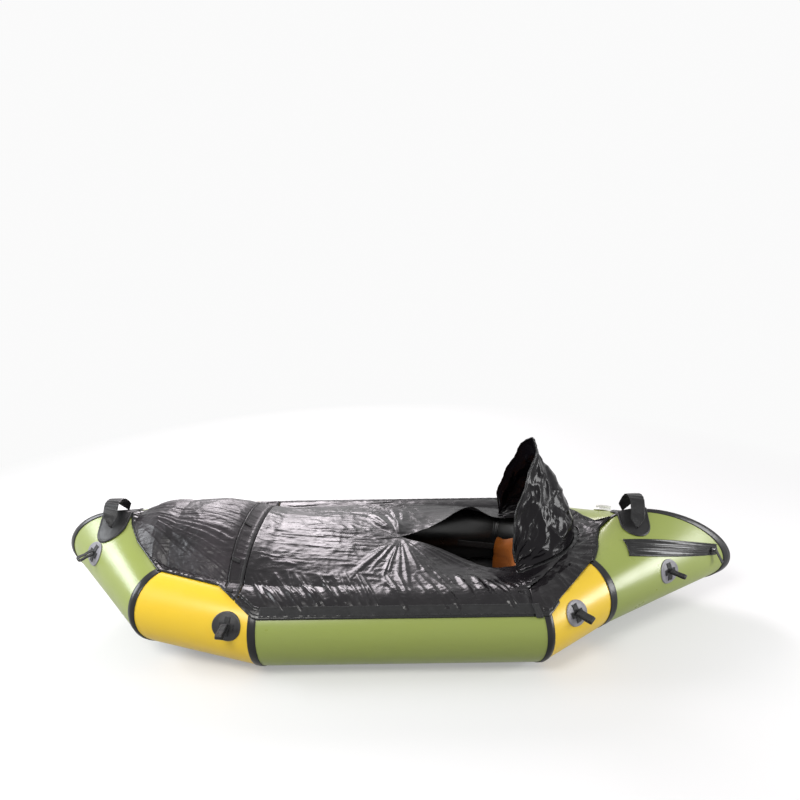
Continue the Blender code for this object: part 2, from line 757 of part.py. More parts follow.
# Hook tape on the middle panel's port edge, over the side tube
hook_rows = [SIDE_START + OVERRUN + (SIDE_END - SIDE_START - 2 * OVERRUN) * s for s in even(8)]
strip_angle = degrees(HOOK_STRIP_WIDTH / SIDE_RADIUS)
hook_grid = []
for x in hook_rows:
    share = (x - SIDE_START) / (SIDE_END - SIDE_START)
    angles = [PORT_EDGE_ANGLE - strip_angle * s for s in even(4)]
    hook_grid.append([tube_point(PORT, SIDE, share, angle, LAYER_LIFT) for angle in angles])
cloth_sheet("port_hook_strip", [hook_grid], HOOK_TAPE, DECK_THICKNESS, towards=(0, -1, 1))
on_joint(bpy.data.objects["port_hook_strip"], fold_axis)

# Tab at the rear end of the hook tape, for pulling the panel open
tab_lift = LAYER_LIFT + DECK_THICKNESS + CLEARANCE
tab_angle = degrees(DECK_TAB_LENGTH / SIDE_RADIUS)
tab_grid = []
for s in even(2):
    share = 1 - (OVERRUN + DECK_TAB_WIDTH * (1 - s)) / section_length(SIDE)
    angles = [PORT_EDGE_ANGLE - tab_angle * (t - 1 / 4) for t in even(4)]
    tab_grid.append([tube_point(PORT, SIDE, share, angle, tab_lift) for angle in angles])
cloth_sheet("panel_pull_tab", [tab_grid], WEBBING, WEBBING_THICKNESS, towards=(0, -1, 1))
on_joint(bpy.data.objects["panel_pull_tab"], fold_axis)

# Fixed strip between the fold seam and the starboard edge
def strip_row(share):
    """Points across the strip, whose rear end follows the hem."""
    row = []
    for s in even(4):
        x, y = PANEL_FRONT, FOLD_SEAM
        for _ in range(4):
            y = FOLD_SEAM + CLEARANCE + (edge_y(STARBOARD, x) - FOLD_SEAM - CLEARANCE) * s
            x = PANEL_FRONT + (hem_x(y) - PANEL_FRONT) * share
        row.append(deck_point(x, y))
    return row


cloth_sheet(
    "starboard_deck_strip",
    [[strip_row(share) for share in (*panel_shares[:4], *[0.2 + 0.8 * s for s in even(9)])]],
    DECK_CLOTH,
    DECK_THICKNESS,
)


# Stern deck: fixed, from the line behind the collar to the rim on the stern tubes
def rim_x(side, y):
    """X of the stern rim at a Y."""
    line = EDGES[side]
    behind = line[line[:, 0] > SIDE_END - OVERRUN]
    order = np.argsort(behind[:, 1])
    return float(np.interp(abs(y), behind[order, 1], behind[order, 0]))


def stern_deck():
    port_limit = edge_y(PORT, hem_x(-SIDE_HALF_WIDTH) + OVERRUN / 2)
    starboard_limit = edge_y(STARBOARD, hem_x(SIDE_HALF_WIDTH) + OVERRUN / 2)
    grid = []
    for s in crowded(20):
        y = port_limit + (starboard_limit - port_limit) * s
        side = PORT if y < 0 else STARBOARD
        start, end = hem_x(y) + HEM_GAP, rim_x(side, y)
        grid.append([deck_point(start + (end - start) * f, y) for f in even(5)])
    cloth_sheet("stern_deck", [grid], DECK_CLOTH, DECK_THICKNESS)


stern_deck()


# Collar: a pointed hood of deck cloth that stands round the back of the cockpit
def collar_base(share):
    """Foot of the collar on the deck; share runs -1 to 1 from port front to starboard front."""
    turn = share * pi / 2
    rear = hem_x(0.0) - OVERRUN
    return Vector((rear - COLLAR_LENGTH * (1 - cos(turn)), COLLAR_HALF_WIDTH * sin(turn)))


def collar_grid():
    rows, columns = 7, 18
    foot_lift = DECK_LIFT + DECK_THICKNESS + COLLAR_SEAM_LIFT
    peak_x, foot_x = hem_x(0.0) - OVERRUN - COLLAR_LEAN, collar_base(1).x
    grid = []
    for row in range(rows + 1):
        f = row / rows
        line = []
        for column in range(columns + 1):
            share = 2 * column / columns - 1
            base = collar_base(share)
            ground = deck_height(base.x, base.y, foot_lift + 3 * COLLAR_SEAM_LIFT * share**4)
            top = COLLAR_HEIGHT * (1 - abs(share) ** 1.15)
            fold = COLLAR_FOLD_DEPTH * sin(COLLAR_FOLD_COUNT * pi * share) * bump(f, 0.0, 2.0)
            lean = f ** 1.15
            narrow = 1 - COLLAR_NARROWING * lean * (1 - share**2)
            sweep = COLLAR_MOUTH_SWEEP * sin(pi * share**2)
            mouth_x = peak_x + (foot_x - peak_x) * abs(share) ** 1.2 - sweep
            x = base.x + (mouth_x - base.x) * lean + fold
            line.append(Vector((x, base.y * narrow, ground + top * f + COLLAR_TAB_WIDTH * f)))
        grid.append(line)
    return grid


cloth_sheet("collar", [collar_grid()], DECK_CLOTH, COLLAR_THICKNESS, towards=(1, 0, 0))
collar_foot_x = hem_x(0.0) - OVERRUN + COLLAR_THICKNESS + COLLAR_SEAM_LIFT
collar_axis = deck_point(collar_foot_x, 0.0, DECK_LIFT + DECK_THICKNESS + CLEARANCE)
on_joint(bpy.data.objects["collar"], collar_axis)


# Seat: a channelled cushion on the floor, in front of an inflated backrest
seat_floor = floor_top(0.0) + CLEARANCE
BACKREST_INNER = BACKREST_HALF_WIDTH - BACKREST_THICKNESS
SEAT_BEND_CENTRE = BACKREST_REAR - BACKREST_HALF_WIDTH
SEAT_REACH = BACKREST_INNER - SEAT_SPACE
seat_rear = SEAT_BEND_CENTRE + SEAT_REACH * SEAT_REAR_SHARE


def cushion_grid():
    """Upper and lower faces of the seat cushion: sides drawn in, channels along its length."""
    top, bottom = [], []
    for i in range(11):
        u = i / 5 - 1
        rows = ([], [])
        into_bend = max(0.0, seat_rear - SEAT_LENGTH / 2 * (1 - u) - SEAT_BEND_CENTRE)
        room = sqrt(SEAT_REACH**2 - into_bend**2)
        half = min(SEAT_WIDTH / 2 * (1 - 0.05 * (1 - u * u)), room)
        for j in range(17):
            v = j / 8 - 1
            x = seat_rear - SEAT_LENGTH / 2 * (1 - u * (1 - 0.05 * (1 - v * v) * abs(u)))
            crown = (1 - abs(u) ** 4) ** 0.5 * (1 - abs(v) ** 4) ** 0.5
            channel = CHANNEL_DEPTH * (1 - cos(pi * (v + 1) * (SEAT_CHANNELS + 1))) / 2 * crown
            middle = seat_floor + SEAT_HEIGHT * 0.30
            upper = middle + SEAT_HEIGHT * (0.10 + 0.60 * crown) - CHANNEL_DEPTH * crown + channel
            rows[0].append(Vector((x, half * v, upper)))
            rows[1].append(Vector((x, half * v, middle - SEAT_HEIGHT * 0.30 * min(1.0, 2.2 * crown))))
        top.append(rows[0])
        bottom.append(rows[1])
    return top, bottom


solid_of_layers("seat_cushion", *cushion_grid(), ORANGE)


def backrest():
    """A curved pad that stands on the floor, lower at its ends; returns its outermost point."""
    columns, sides = 24, 12
    base = floor_top(BACKREST_REAR) + CLEARANCE
    centre_x = BACKREST_REAR - BACKREST_THICKNESS / 2 - BACKREST_BEND_RADIUS
    spread = asin((BACKREST_HALF_WIDTH - BACKREST_THICKNESS / 2) / BACKREST_BEND_RADIUS)
    rings = []
    for column in range(columns + 1):
        turn = spread * (2 * column / columns - 1)
        x, y = centre_x + BACKREST_BEND_RADIUS * cos(turn), BACKREST_BEND_RADIUS * sin(turn)
        share = abs(2 * column / columns - 1)
        height = BACKREST_HEIGHT + (BACKREST_ARM_HEIGHT - BACKREST_HEIGHT) * (1 - cos(pi * share)) / 2
        close = min(1.0, sqrt(max(0.0, 1 - max(0.0, (share - 0.90) / 0.10) ** 2)) + 0.25)
        ring = []
        for k in range(sides):
            a = 2 * pi * k / sides
            out = BACKREST_THICKNESS / 2 * close * max(-1.0, min(1.0, 1.25 * sin(a)))
            up = max(-1.0, min(1.0, 1.06 * cos(a)))
            z = base + height / 2 * (1 + up)
            ring.append(Vector((x + out * cos(turn), y + out * sin(turn), z)))
        rings.append(ring)
    on_joint(lofted("seat_backrest", rings, ORANGE), Vector((BACKREST_REAR, 0.0, base)))
    return max((point for ring in rings for point in ring), key=lambda point: point.y)


backrest_end = backrest()

# Straps that hold the backrest to the side tubes
for side_name, side in SIDES.items():
    arm_x = backrest_end.x
    tube_y = SIDE_HALF_WIDTH - 2 * SIDE_RADIUS
    arm_y = backrest_end.y
    height = SIDE_RISE + SIDE_RADIUS
    layers = []
    reach = tube_y - arm_y - SEAT_STRAP_THICKNESS - 2 * CLEARANCE
    for depth in (CLEARANCE, CLEARANCE + SEAT_STRAP_THICKNESS):
        layer = []
        for f in even(4):
            x, y = arm_x - SEAT_STRAP_LENGTH * f, side * (arm_y + depth + reach * f)
            layer.append([Vector((x, y, height + SEAT_STRAP_WIDTH * (s - 0.5))) for s in even(2)])
        layers.append(layer)
    solid_of_layers(f"{side_name}_seat_strap", *layers, WEBBING)


# Attachment patches, each with a folded webbing loop that flips on the patch
def round_patch(name, side, section, share, angle, radius, material):
    """A disc of fabric that follows the tube."""
    rings, spokes = 2, 16
    bm = bmesh.new()
    layers = []
    for lift in (PATCH_LIFT + PATCH_THICKNESS, PATCH_LIFT):
        middle = bm.verts.new(tube_point(side, section, share, angle, lift))
        circles = []
        for r in range(1, rings + 1):
            circle = []
            for k in range(spokes):
                a = 2 * pi * k / spokes
                step = radius * r / rings * Vector((cos(a), sin(a)))
                circle.append(bm.verts.new(tube_spot(side, section, share, angle, step.x, step.y, lift)))
            circles.append(circle)
        layers.append((middle, circles))
        for k in range(spokes):
            m = (k + 1) % spokes
            bm.faces.new((middle, circles[0][k], circles[0][m]))
            for small, large in zip(circles, circles[1:]):
                bm.faces.new((small[k], large[k], large[m], small[m]))
    for k in range(spokes):
        m = (k + 1) % spokes
        top, bottom = layers[0][1][-1], layers[1][1][-1]
        bm.faces.new((top[k], bottom[k], bottom[m], top[m]))
    bmesh.ops.recalc_face_normals(bm, faces=bm.faces)
    return link_piece(name, mesh_of(bm), material)


def webbing_loop(name, side, section, share, angle, heading):
    """A loop of webbing that stands out from its patch; heading turns it to the stern, in degrees."""
    place, along, _, out = tube_frame(side, section, share, angle)
    radius = LOOP_EYE / 2 + WEBBING_THICKNESS
    outboard = Vector((out.x, out.y, 0.0)).normalized()
    flat_along = Vector((along.x, along.y, 0.0)).normalized()
    plan = outboard * cos(radians(heading)) + flat_along * sin(radians(heading))
    reach = plan * cos(radians(LOOP_DROOP)) - Vector((0, 0, sin(radians(LOOP_DROOP))))
    hinge = out.cross(reach).normalized()
    up = reach.cross(hinge) * -1
    if up.dot(out) < 0:
        up = -up
    centre = place + out * (PATCH_LIFT + PATCH_THICKNESS + CLEARANCE + radius)
    run = LOOP_LENGTH - 2 * radius
    arc = 5
    outer, inner = [], []
    for end, start_angle in ((0.0, pi / 2), (run, -pi / 2)):
        for k in range(arc + 1):
            a = start_angle + pi * k / arc
            for size, line in ((radius, outer), (radius - WEBBING_THICKNESS, inner)):
                line.append(centre + reach * (end + size * cos(a)) + up * size * sin(a))
    half = hinge * LOOP_WIDTH / 2
    rows_outer = [[p + half * s for p in outer] for s in (-1, 1)]
    rows_inner = [[p + half * s for p in inner] for s in (-1, 1)]
    piece = solid_of_layers(name, rows_outer, rows_inner, WEBBING, around=True)
    return on_joint(piece, centre)


# Each patch: section, share along it, angle, how far its loop is turned to the stern, radius
PATCH_PLACES = {
    "bow": (BOW, 0.36, 53.0, -8.0, PATCH_RADIUS, GREY_PATCH),
    "front": (FRONT, 0.80, 61.0, 0.0, FRONT_PATCH_RADIUS, BLACK_TAPE),
    "rear": (REAR, 0.40, 62.0, 20.0, PATCH_RADIUS, GREY_PATCH),
    "stern": (STERN, 0.46, 66.0, 30.0, PATCH_RADIUS, GREY_PATCH),
}
for side_name, side in SIDES.items():
    for patch_name, (section, share, angle, heading, radius, material) in PATCH_PLACES.items():
        round_patch(f"{side_name}_{patch_name}_patch", side, section, share, angle, radius, material)
        webbing_loop(f"{side_name}_{patch_name}_loop", side, section, share, angle, heading)


# Carrying handles: a pad across the tip and a standing strap on it
def handle_pad(name, middle_x, length, crown):
    """A pad with round ends that lies over both tubes and the tape between them."""
    half, radius = length / 2, PAD_WIDTH / 2
    grid = []
    for s in crowded(14):
        y = -half + CLEARANCE + (length - 2 * CLEARANCE) * s
        past = max(0.0, abs(y) - (half - radius))
        width = sqrt(max(radius**2 - past**2, 0.0))
        row = []
        for t in even(5):
            x = middle_x + width * (2 * t - 1)
            height = tube_height(x, y, PAD_LIFT)
            if abs(y) < PAD_BRIDGE:
                height = max(height, tube_height(x, PAD_BRIDGE, PAD_LIFT))
                height += crown * (1 - (y / PAD_BRIDGE) ** 2)
            row.append(Vector((x, y, height)))
        grid.append(row)
    return cloth_sheet(name, [grid], BLACK_TAPE, PATCH_THICKNESS)


def handle_strap(name, middle_x, room):
    """A band that arches up between two rolled feet on the pad, and swings about the feet."""
    foot = tube_height(middle_x, HANDLE_SPAN / 2, PAD_LIFT + PATCH_THICKNESS + CLEARANCE)
    axis = Vector((middle_x, 0.0, foot + FOOT_RADIUS))
    arch = tube_height(middle_x, 0.0, PAD_LIFT) + room - axis.z
    rings = []
    for s in even(16):
        raise_share = 1 - abs(2 * s - 1) ** 2.4
        rise = arch * raise_share
        half_width = min(FOOT_RADIUS + rise * FOOT_SPREAD, HANDLE_WIDTH / 2)
        flat = (half_width - FOOT_RADIUS) / (HANDLE_WIDTH / 2 - FOOT_RADIUS)
        half_depth = FOOT_RADIUS + (WEBBING_THICKNESS / 2 - FOOT_RADIUS) * flat
        middle = axis + Vector((0.0, HANDLE_SPAN * (s - 0.5), rise))
        turns = [pi / 8 * (2 * k + 1) for k in range(8)]
        rings.append([middle + Vector((half_width * cos(t), 0.0, half_depth * sin(t))) for t in turns])
    piece = lofted(name, rings, WEBBING)
    return on_joint(piece, axis)


bow_pad_x = -HULL_LENGTH / 2 + PAD_SETBACK
# The stern pad lies aft of the point where the two tubes meet
stern_pad_x = RINGS[-1].centre.x - RINGS[-1].across.x + STERN_PAD_MARGIN + PAD_WIDTH / 2
handle_pad("bow_handle_pad", bow_pad_x, BOW_PAD_LENGTH, PAD_CROWN / 4)
handle_pad("stern_handle_pad", stern_pad_x, STERN_PAD_LENGTH, PAD_CROWN)
handle_strap("bow_handle_strap", bow_pad_x, BOW_HANDLE_ROOM)
handle_strap("stern_handle_strap", stern_pad_x, STERN_HANDLE_ROOM)


# Inflation valve on the starboard stern tube: a flanged seat and a cap with a plug
def turned(name, profile, material, place, out):
    """A closed profile of (radius, height) points turned about the valve's axis."""
    steps = 28
    rings = []
    turn = Vector((0, 0, 1)).rotation_difference(out)
    for k in range(steps):
        a = 2 * pi * k / steps
        rings.append([place + turn @ Vector((r * cos(a), r * sin(a), h)) for r, h in profile])
    bm = bmesh.new()
    verts = [[bm.verts.new(p) for p in ring] for ring in rings]
    count = len(profile)
    for k in range(steps):
        low, high = verts[k], verts[(k + 1) % steps]
        for m in range(count):
            n = (m + 1) % count
            bm.faces.new((low[m], low[n], high[n], high[m]))
    bmesh.ops.remove_doubles(bm, verts=bm.verts, dist=CLEARANCE / 8)
    bmesh.ops.dissolve_degenerate(bm, dist=CLEARANCE / 8, edges=bm.edges)
    bmesh.ops.recalc_face_normals(bm, faces=bm.faces)
    piece = link_piece(name, mesh_of(bm), material)
    return on_joint(piece, place)


VALVE_SHARE, VALVE_ANGLE = 0.33, 17.0
valve_place, _, _, valve_out = tube_frame(STARBOARD, STERN, VALVE_SHARE, VALVE_ANGLE)
valve_seat = valve_place + valve_out * CLEARANCE
flange = VALVE_HEIGHT / 3
turned(
    "valve_seat",
    [
        (VALVE_RADIUS, 0.0),
        (VALVE_RADIUS, flange),
        (CAP_RADIUS, VALVE_HEIGHT),
        (VALVE_BORE_RADIUS, VALVE_HEIGHT),
        (VALVE_BORE_RADIUS, 0.0),
    ],
    WHITE_PLASTIC,
    valve_seat,
    valve_out,
)
cap_base = VALVE_HEIGHT + CLEARANCE
plug_radius = VALVE_BORE_RADIUS - PLUG_PLAY
turned(
    "valve_cap",
    [
        (0.0, cap_base - CAP_PLUG_DEPTH),
        (plug_radius, cap_base - CAP_PLUG_DEPTH),
        (plug_radius, cap_base),
        (CAP_RADIUS, cap_base),
        (CAP_RADIUS, cap_base + CAP_HEIGHT * 0.7),
        (CAP_RADIUS * 0.9, cap_base + CAP_HEIGHT),
        (0.0, cap_base + CAP_HEIGHT),
    ],
    WHITE_PLASTIC,
    valve_seat,
    valve_out,
)


# Watertight zip on the port stern tube, with a slider that runs along it and a pull tag
ZIP_START_SHARE = 0.33
ZIP_END_SHARE = 0.90
ZIP_ANGLE_SHARES = (0.18, 1.0, -0.18)


def zip_middle(f):
    """Share and angle on the stern tube of the zip's middle line."""
    start, climb, ease = ZIP_ANGLE_SHARES
    share = ZIP_START_SHARE + (ZIP_END_SHARE - ZIP_START_SHARE) * f
    return share, ZIP_TURN * (start + climb * f + ease * f**2)


def zip_spot(f, off=0.0, lift=0.0):
    """A point of the zip; f runs from its square front end to the stern, off is outboard."""
    share, angle = zip_middle(f)
    step = 0.01
    _, along, around, out = tube_frame(PORT, STERN, share, angle)
    forward = tube_point(PORT, STERN, *zip_middle(f + step)) - tube_point(PORT, STERN, *zip_middle(f - step))
    across = forward.cross(out).normalized()
    direction = along.normalized()
    square = (around - direction * around.dot(direction)).normalized()
    sign = 1.0 if across.dot(square) > 0 else -1.0
    step_along, step_out = off * sign * across.dot(direction), off * sign * across.dot(square)
    return tube_spot(PORT, STERN, share, angle, step_along, step_out, lift)


zip_rows = []
for f in even(12):
    width = ZIP_WIDTH + (ZIP_TIP_WIDTH - ZIP_WIDTH) * f**1.5
    zip_rows.append([zip_spot(f, width * (s - 0.5), ZIP_LIFT) for s in even(4)])
cloth_sheet("zip_strip", [zip_rows], BLACK_TAPE, ZIP_THICKNESS, towards=(0.3, -0.5, 1))


def circle_through(a, b, c):
    """Centre and axis of the circle through three points."""
    ab, ac = b - a, c - a
    axis = ab.cross(ac)
    reach = axis.cross(ab) * ac.length_squared + ac.cross(axis) * ab.length_squared
    return a + reach / (2 * axis.length_squared), axis.normalized()


zip_top = ZIP_LIFT + ZIP_THICKNESS + SLIDER_LIFT
SLIDER_REST = 0.94
SLIDER_OPEN = 0.20
middle_stop = zip_spot((SLIDER_OPEN + SLIDER_REST) / 2, 0, zip_top + ARC_LIFT)
zip_stops = [zip_spot(SLIDER_OPEN, 0, zip_top + ARC_LIFT), middle_stop, zip_spot(SLIDER_REST, 0, zip_top)]
zip_centre, zip_axis = circle_through(*zip_stops)


def block(name, place, forward, out, size, material):
    """A small bevelled block with its base on a surface."""
    bm = bmesh.new()
    bmesh.ops.create_cube(bm, size=1.0)
    square = out.cross(forward).normalized()
    ahead = square.cross(out).normalized()
    for vert in bm.verts:
        length, width, height = vert.co.x * size[0], vert.co.y * size[1], (vert.co.z + 0.5) * size[2]
        vert.co = place + ahead * length + square * width + out * height
    bm.normal_update()
    piece = link_piece(name, mesh_of(bm), material)
    round_over = piece.modifiers.new("rounding", "BEVEL")
    round_over.width = min(size) / 4
    round_over.segments = 2
    return piece


slider_place = zip_spot(SLIDER_REST, 0, ZIP_LIFT + ZIP_THICKNESS + SLIDER_LIFT / 2)
slider_forward = (zip_spot(SLIDER_REST + 0.03, 0) - zip_spot(SLIDER_REST - 0.03, 0)).normalized()
slider_out = slider_forward.cross(zip_spot(SLIDER_REST, -0.01) - zip_spot(SLIDER_REST, 0.01)).normalized()
slider = block(
    "zip_slider",
    slider_place,
    slider_forward,
    slider_out,
    (SLIDER_LENGTH, SLIDER_WIDTH, SLIDER_HEIGHT),
    BLACK_PLASTIC,
)
on_joint(slider, zip_centre)
slider_square = slider_forward.cross(slider_out).normalized()
if slider_square.z > 0:
    slider_square = -slider_square
pull_hinge = slider_place + slider_out * (SLIDER_HEIGHT + CLEARANCE)
pull_forward = (slider_forward * 0.55 + slider_square * 0.80 + slider_out * 0.10).normalized()
pull_square = pull_forward.cross(slider_out).normalized()
pull_out = pull_square.cross(pull_forward).normalized()
if pull_out.dot(slider_out) < 0:
    pull_out = -pull_out
pull = block(
    "zip_pull",
    pull_hinge + pull_forward * PULL_LENGTH / 2,
    pull_forward,
    pull_out,
    (PULL_LENGTH, PULL_WIDTH, PULL_THICKNESS),
    WEBBING,
)
on_joint(pull, pull_hinge)
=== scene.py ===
# Looks of the packraft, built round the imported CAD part.
# Metres. X runs from bow to stern, Y to starboard, Z up; the floor sheet rests on Z = 0.

from math import asin, cos, pi, radians, sin, sqrt

import bmesh
import bpy
import numpy as np
from mathutils import Matrix, Vector, noise


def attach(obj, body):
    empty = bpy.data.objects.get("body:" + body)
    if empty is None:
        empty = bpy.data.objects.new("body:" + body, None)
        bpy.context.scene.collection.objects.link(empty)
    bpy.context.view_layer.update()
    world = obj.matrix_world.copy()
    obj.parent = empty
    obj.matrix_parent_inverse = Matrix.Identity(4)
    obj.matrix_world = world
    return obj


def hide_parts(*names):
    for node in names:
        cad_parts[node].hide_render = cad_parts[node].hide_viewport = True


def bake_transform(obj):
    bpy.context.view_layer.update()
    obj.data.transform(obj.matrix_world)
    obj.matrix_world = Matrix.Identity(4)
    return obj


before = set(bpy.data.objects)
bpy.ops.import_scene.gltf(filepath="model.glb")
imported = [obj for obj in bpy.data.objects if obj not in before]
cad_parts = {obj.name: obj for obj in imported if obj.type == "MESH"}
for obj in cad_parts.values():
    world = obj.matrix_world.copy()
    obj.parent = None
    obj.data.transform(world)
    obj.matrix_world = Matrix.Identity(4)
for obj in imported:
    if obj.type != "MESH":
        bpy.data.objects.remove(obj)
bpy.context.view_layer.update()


# Hull tubes: ten mitred sections of nylon coated with plastic, welded end to end and blown up
# hard. Green at the ends and sides, yellow at the four corners.

TUBES = ("bow", "front_corner", "side", "rear_corner", "stern")
# One row for each seam: middle x, y, z; reach of the slanted seam in x, y; radius; droop
SEAM_RINGS = np.array(
    [
        (-1.06136, 0.00000, 0.270, -0.16464, 0.00000, 0.120, 0.027),
        (-0.80533, -0.26673, 0.175, -0.06467, -0.11227, 0.124, 0.000),
        (-0.45532, -0.34400, 0.133, -0.01468, -0.12800, 0.128, 0.000),
        (0.41364, -0.34400, 0.133, 0.03936, -0.12800, 0.128, 0.000),
        (0.62077, -0.20087, 0.156, 0.06923, -0.11013, 0.130, 0.000),
        (0.98291, 0.00000, 0.230, 0.24309, 0.00000, 0.122, 0.074),
    ]
)
# The stern's last seam is read from just before it, so that it counts to the last section
JUST_SHORT = 1e-9
STERN_END = len(TUBES) - JUST_SHORT
PORT, STARBOARD = -1, 1
SIDES = {"port": PORT, "starboard": STARBOARD}
GREEN = (0.290, 0.352, 0.068)
YELLOW = (0.900, 0.600, 0.018)


def tube_surface(side, along, angle, lift=0.0):
    """Points on the tubes: along counts sections from the bow, angle is in degrees from the top
    with plus outboard, and lift is the height over the tube."""
    along, angle, lift = np.broadcast_arrays(np.asarray(along, float), np.radians(angle), lift)
    number = np.clip(along.astype(int), 0, len(TUBES) - 1)
    share = (along - number)[..., None]
    ring = SEAM_RINGS[number] * (1 - share) + SEAM_RINGS[number + 1] * share
    x, y, z, reach_x, reach_y, radius, droop = np.moveaxis(ring, -1, 0)
    turn, grow = np.sin(angle), 1 + lift / radius
    height = z + (radius * np.cos(angle) - droop * turn) * grow
    return np.stack((x + reach_x * turn * grow, -side * (y + reach_y * turn * grow), height), -1)


def crowded(count):
    """Shares from 0 to 1 that lie closer at both ends."""
    return (1 - np.cos(np.pi * np.arange(count + 1) / count)) / 2


def skin(name, points, around=False, looped=False, capped=False, flip=False):
    """A mesh through a grid of points, with a UV map in metres. Columns and rows may close up."""
    rows, columns = points.shape[:2]
    steps = columns if around else columns - 1
    r, c = np.meshgrid(np.arange(rows if looped else rows - 1), np.arange(steps), indexing="ij")
    after, below = (c + 1) % columns, (r + 1) % rows
    corners = [r * columns + c, r * columns + after, below * columns + after, below * columns + c]
    faces = np.stack(corners, -1).reshape(-1, 4)
    down = np.linalg.norm(np.diff(points, axis=0), axis=2).mean(1)
    across = np.linalg.norm(np.diff(points, axis=1), axis=2).mean(0)
    u = np.concatenate(([0.0], np.cumsum(down), [down.sum() + down.mean()]))
    v = np.concatenate(([0.0], np.cumsum(across), [across.sum() + across.mean()]))
    corner_u = np.stack((u[r], u[r], u[r + 1], u[r + 1]), -1)
    corner_v = np.stack((v[c], v[c + 1], v[c + 1], v[c]), -1)
    uv = np.stack((corner_u, corner_v), -1).reshape(-1, 4, 2)
    if flip:
        faces, uv = faces[:, ::-1], uv[:, ::-1]
    polygons = faces.tolist()
    uv = uv.reshape(-1, 2)
    if capped:
        first, last = list(range(columns)), list(range((rows - 1) * columns, rows * columns))
        polygons += [first, last[::-1]] if flip else [first[::-1], last]
        uv = np.concatenate((uv, np.zeros((2 * columns, 2))))
    mesh = bpy.data.meshes.new(name)
    mesh.from_pydata(points.reshape(-1, 3).tolist(), [], polygons)
    mesh.uv_layers.new(name="UVMap").data.foreach_set("uv", uv.ravel())
    mesh.shade_smooth()
    made = bpy.data.objects.new(name, mesh)
    bpy.context.scene.collection.objects.link(made)
    return made


def fit_out(piece, body, slot, material, *nodes):
    """Gives a finished piece its material and its body, and hides the CAD nodes it stands for.
    The slot is not used.
    """
    piece.data.materials.clear()
    piece.data.materials.append(material)
    if nodes:
        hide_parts(*nodes)
    if body == "collar":
        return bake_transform(piece)
    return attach(piece, body)


def add(tree, kind, inputs=(), **settings):
    """A node of a tree. An input is a number, a colour, or (node, output name)."""
    made = tree.nodes.new(kind if "Node" in kind else "ShaderNode" + kind)
    for key, value in settings.items():
        setattr(made, key, value)
    for key, value in dict(inputs).items():
        if isinstance(value, tuple) and isinstance(value[0], bpy.types.Node):
            tree.links.new(value[0].outputs[value[1]], made.inputs[key])
        else:
            made.inputs[key].default_value = value
    return made


def plain_finish(name, colour, roughness, **sockets):
    """A Principled material whose even values sit on the shader itself."""
    made = bpy.data.materials.new(name)
    made.use_nodes = True
    shader = made.node_tree.nodes["Principled BSDF"]
    shader.inputs["Base Color"].default_value = (*colour, 1)
    shader.inputs["Roughness"].default_value = roughness
    for key, value in sockets.items():
        shader.inputs[key.replace("_", " ")].default_value = value
    return made, made.node_tree, shader


def woven_height(tree, pitch):
    """Over-and-under threads on the UV map, that many metres apart."""
    place = add(tree, "TexCoord")
    threads = []
    for direction in ("X", "Y"):
        wave = {"Vector": (place, "UV"), "Scale": 2 * pi / (20 * pitch)}
        threads.append(add(tree, "TexWave", wave, wave_type="BANDS", bands_direction=direction))
    return add(tree, "Math", {0: (threads[0], "Fac"), 1: (threads[1], "Fac")}, operation="MAXIMUM")


def soft_noise(tree, scale, detail, roughness=0.5):
    """Cloudy noise that stays with the piece."""
    place = add(tree, "TexCoord")
    look = {"Scale": scale, "Detail": detail, "Roughness": roughness}
    return add(tree, "TexNoise", {"Vector": (place, "Object"), **look})


def bumped(tree, shader, *layers):
    """Bumps one over another, each given as node, output name, distance and strength."""
    below = {}
    for node, output, distance, strength in layers:
        height = {"Height": (node, output), "Distance": distance, "Strength": strength}
        bump = add(tree, "Bump", {**height, **below})
        below = {"Normal": (bump, "Normal")}
    tree.links.new(bump.outputs["Normal"], shader.inputs["Normal"])


def mottled(tree, shader, colour, other, scale, amount):
    """Base colour that drifts a little towards another one."""
    cloud = soft_noise(tree, scale, 5.0, 0.6)
    limits = {"Value": (cloud, "Fac"), "From Min": 0.35, "From Max": 0.75, "To Max": amount}
    share = add(tree, "MapRange", limits)
    mix = add(tree, "Mix", {"Factor": (share, "Result")}, data_type="RGBA")
    mix.inputs["A"].default_value = (*colour, 1)
    mix.inputs["B"].default_value = (*other, 1)
    tree.links.new(mix.outputs["Result"], shader.inputs["Base Color"])
    return mix


def varied_roughness(tree, shader, low, high, scale):
    """Roughness that drifts between two values."""
    cloud = soft_noise(tree, scale, 4.0)
    limits = {"From Min": 0.3, "From Max": 0.7, "To Min": low, "To Max": high}
    share = add(tree, "MapRange", {"Value": (cloud, "Fac"), **limits})
    tree.links.new(share.outputs["Result"], shader.inputs["Roughness"])


def coated_fabric(name, colour, roughness):
    """Woven nylon under a satin plastic coat: faint weave, cloudy sheen, and a little dust. Where a
    piece has an attribute named inboard, the cloth there is painted black as shade."""
    coat = {"Coat_Weight": 0.25, "Coat_Roughness": 0.24}
    made, tree, shader = plain_finish(name, colour, roughness, **coat)
    drift_colour = tuple(c * 0.80 + 0.05 for c in colour)
    cloudy = mottled(tree, shader, colour, drift_colour, 4.5, 0.25)
    # Painted shade: the base colour turns black where the inboard attribute is set
    inboard = add(tree, "Attribute", attribute_name="inboard")
    shade_mix = add(tree, "Mix", {"Factor": (inboard, "Fac")}, data_type="RGBA")
    tree.links.new(cloudy.outputs["Result"], shade_mix.inputs["A"])
    shade_mix.inputs["B"].default_value = (0.006, 0.006, 0.006, 1)
    tree.links.new(shade_mix.outputs["Result"], shader.inputs["Base Color"])
    varied_roughness(tree, shader, roughness - 0.05, roughness + 0.07, 9.0)
    weave, billow = woven_height(tree, 0.0011), soft_noise(tree, 14.0, 2.0)
    bumped(tree, shader, (weave, "Value", 0.00005, 0.35), (billow, "Fac", 0.0016, 0.35))
    return made


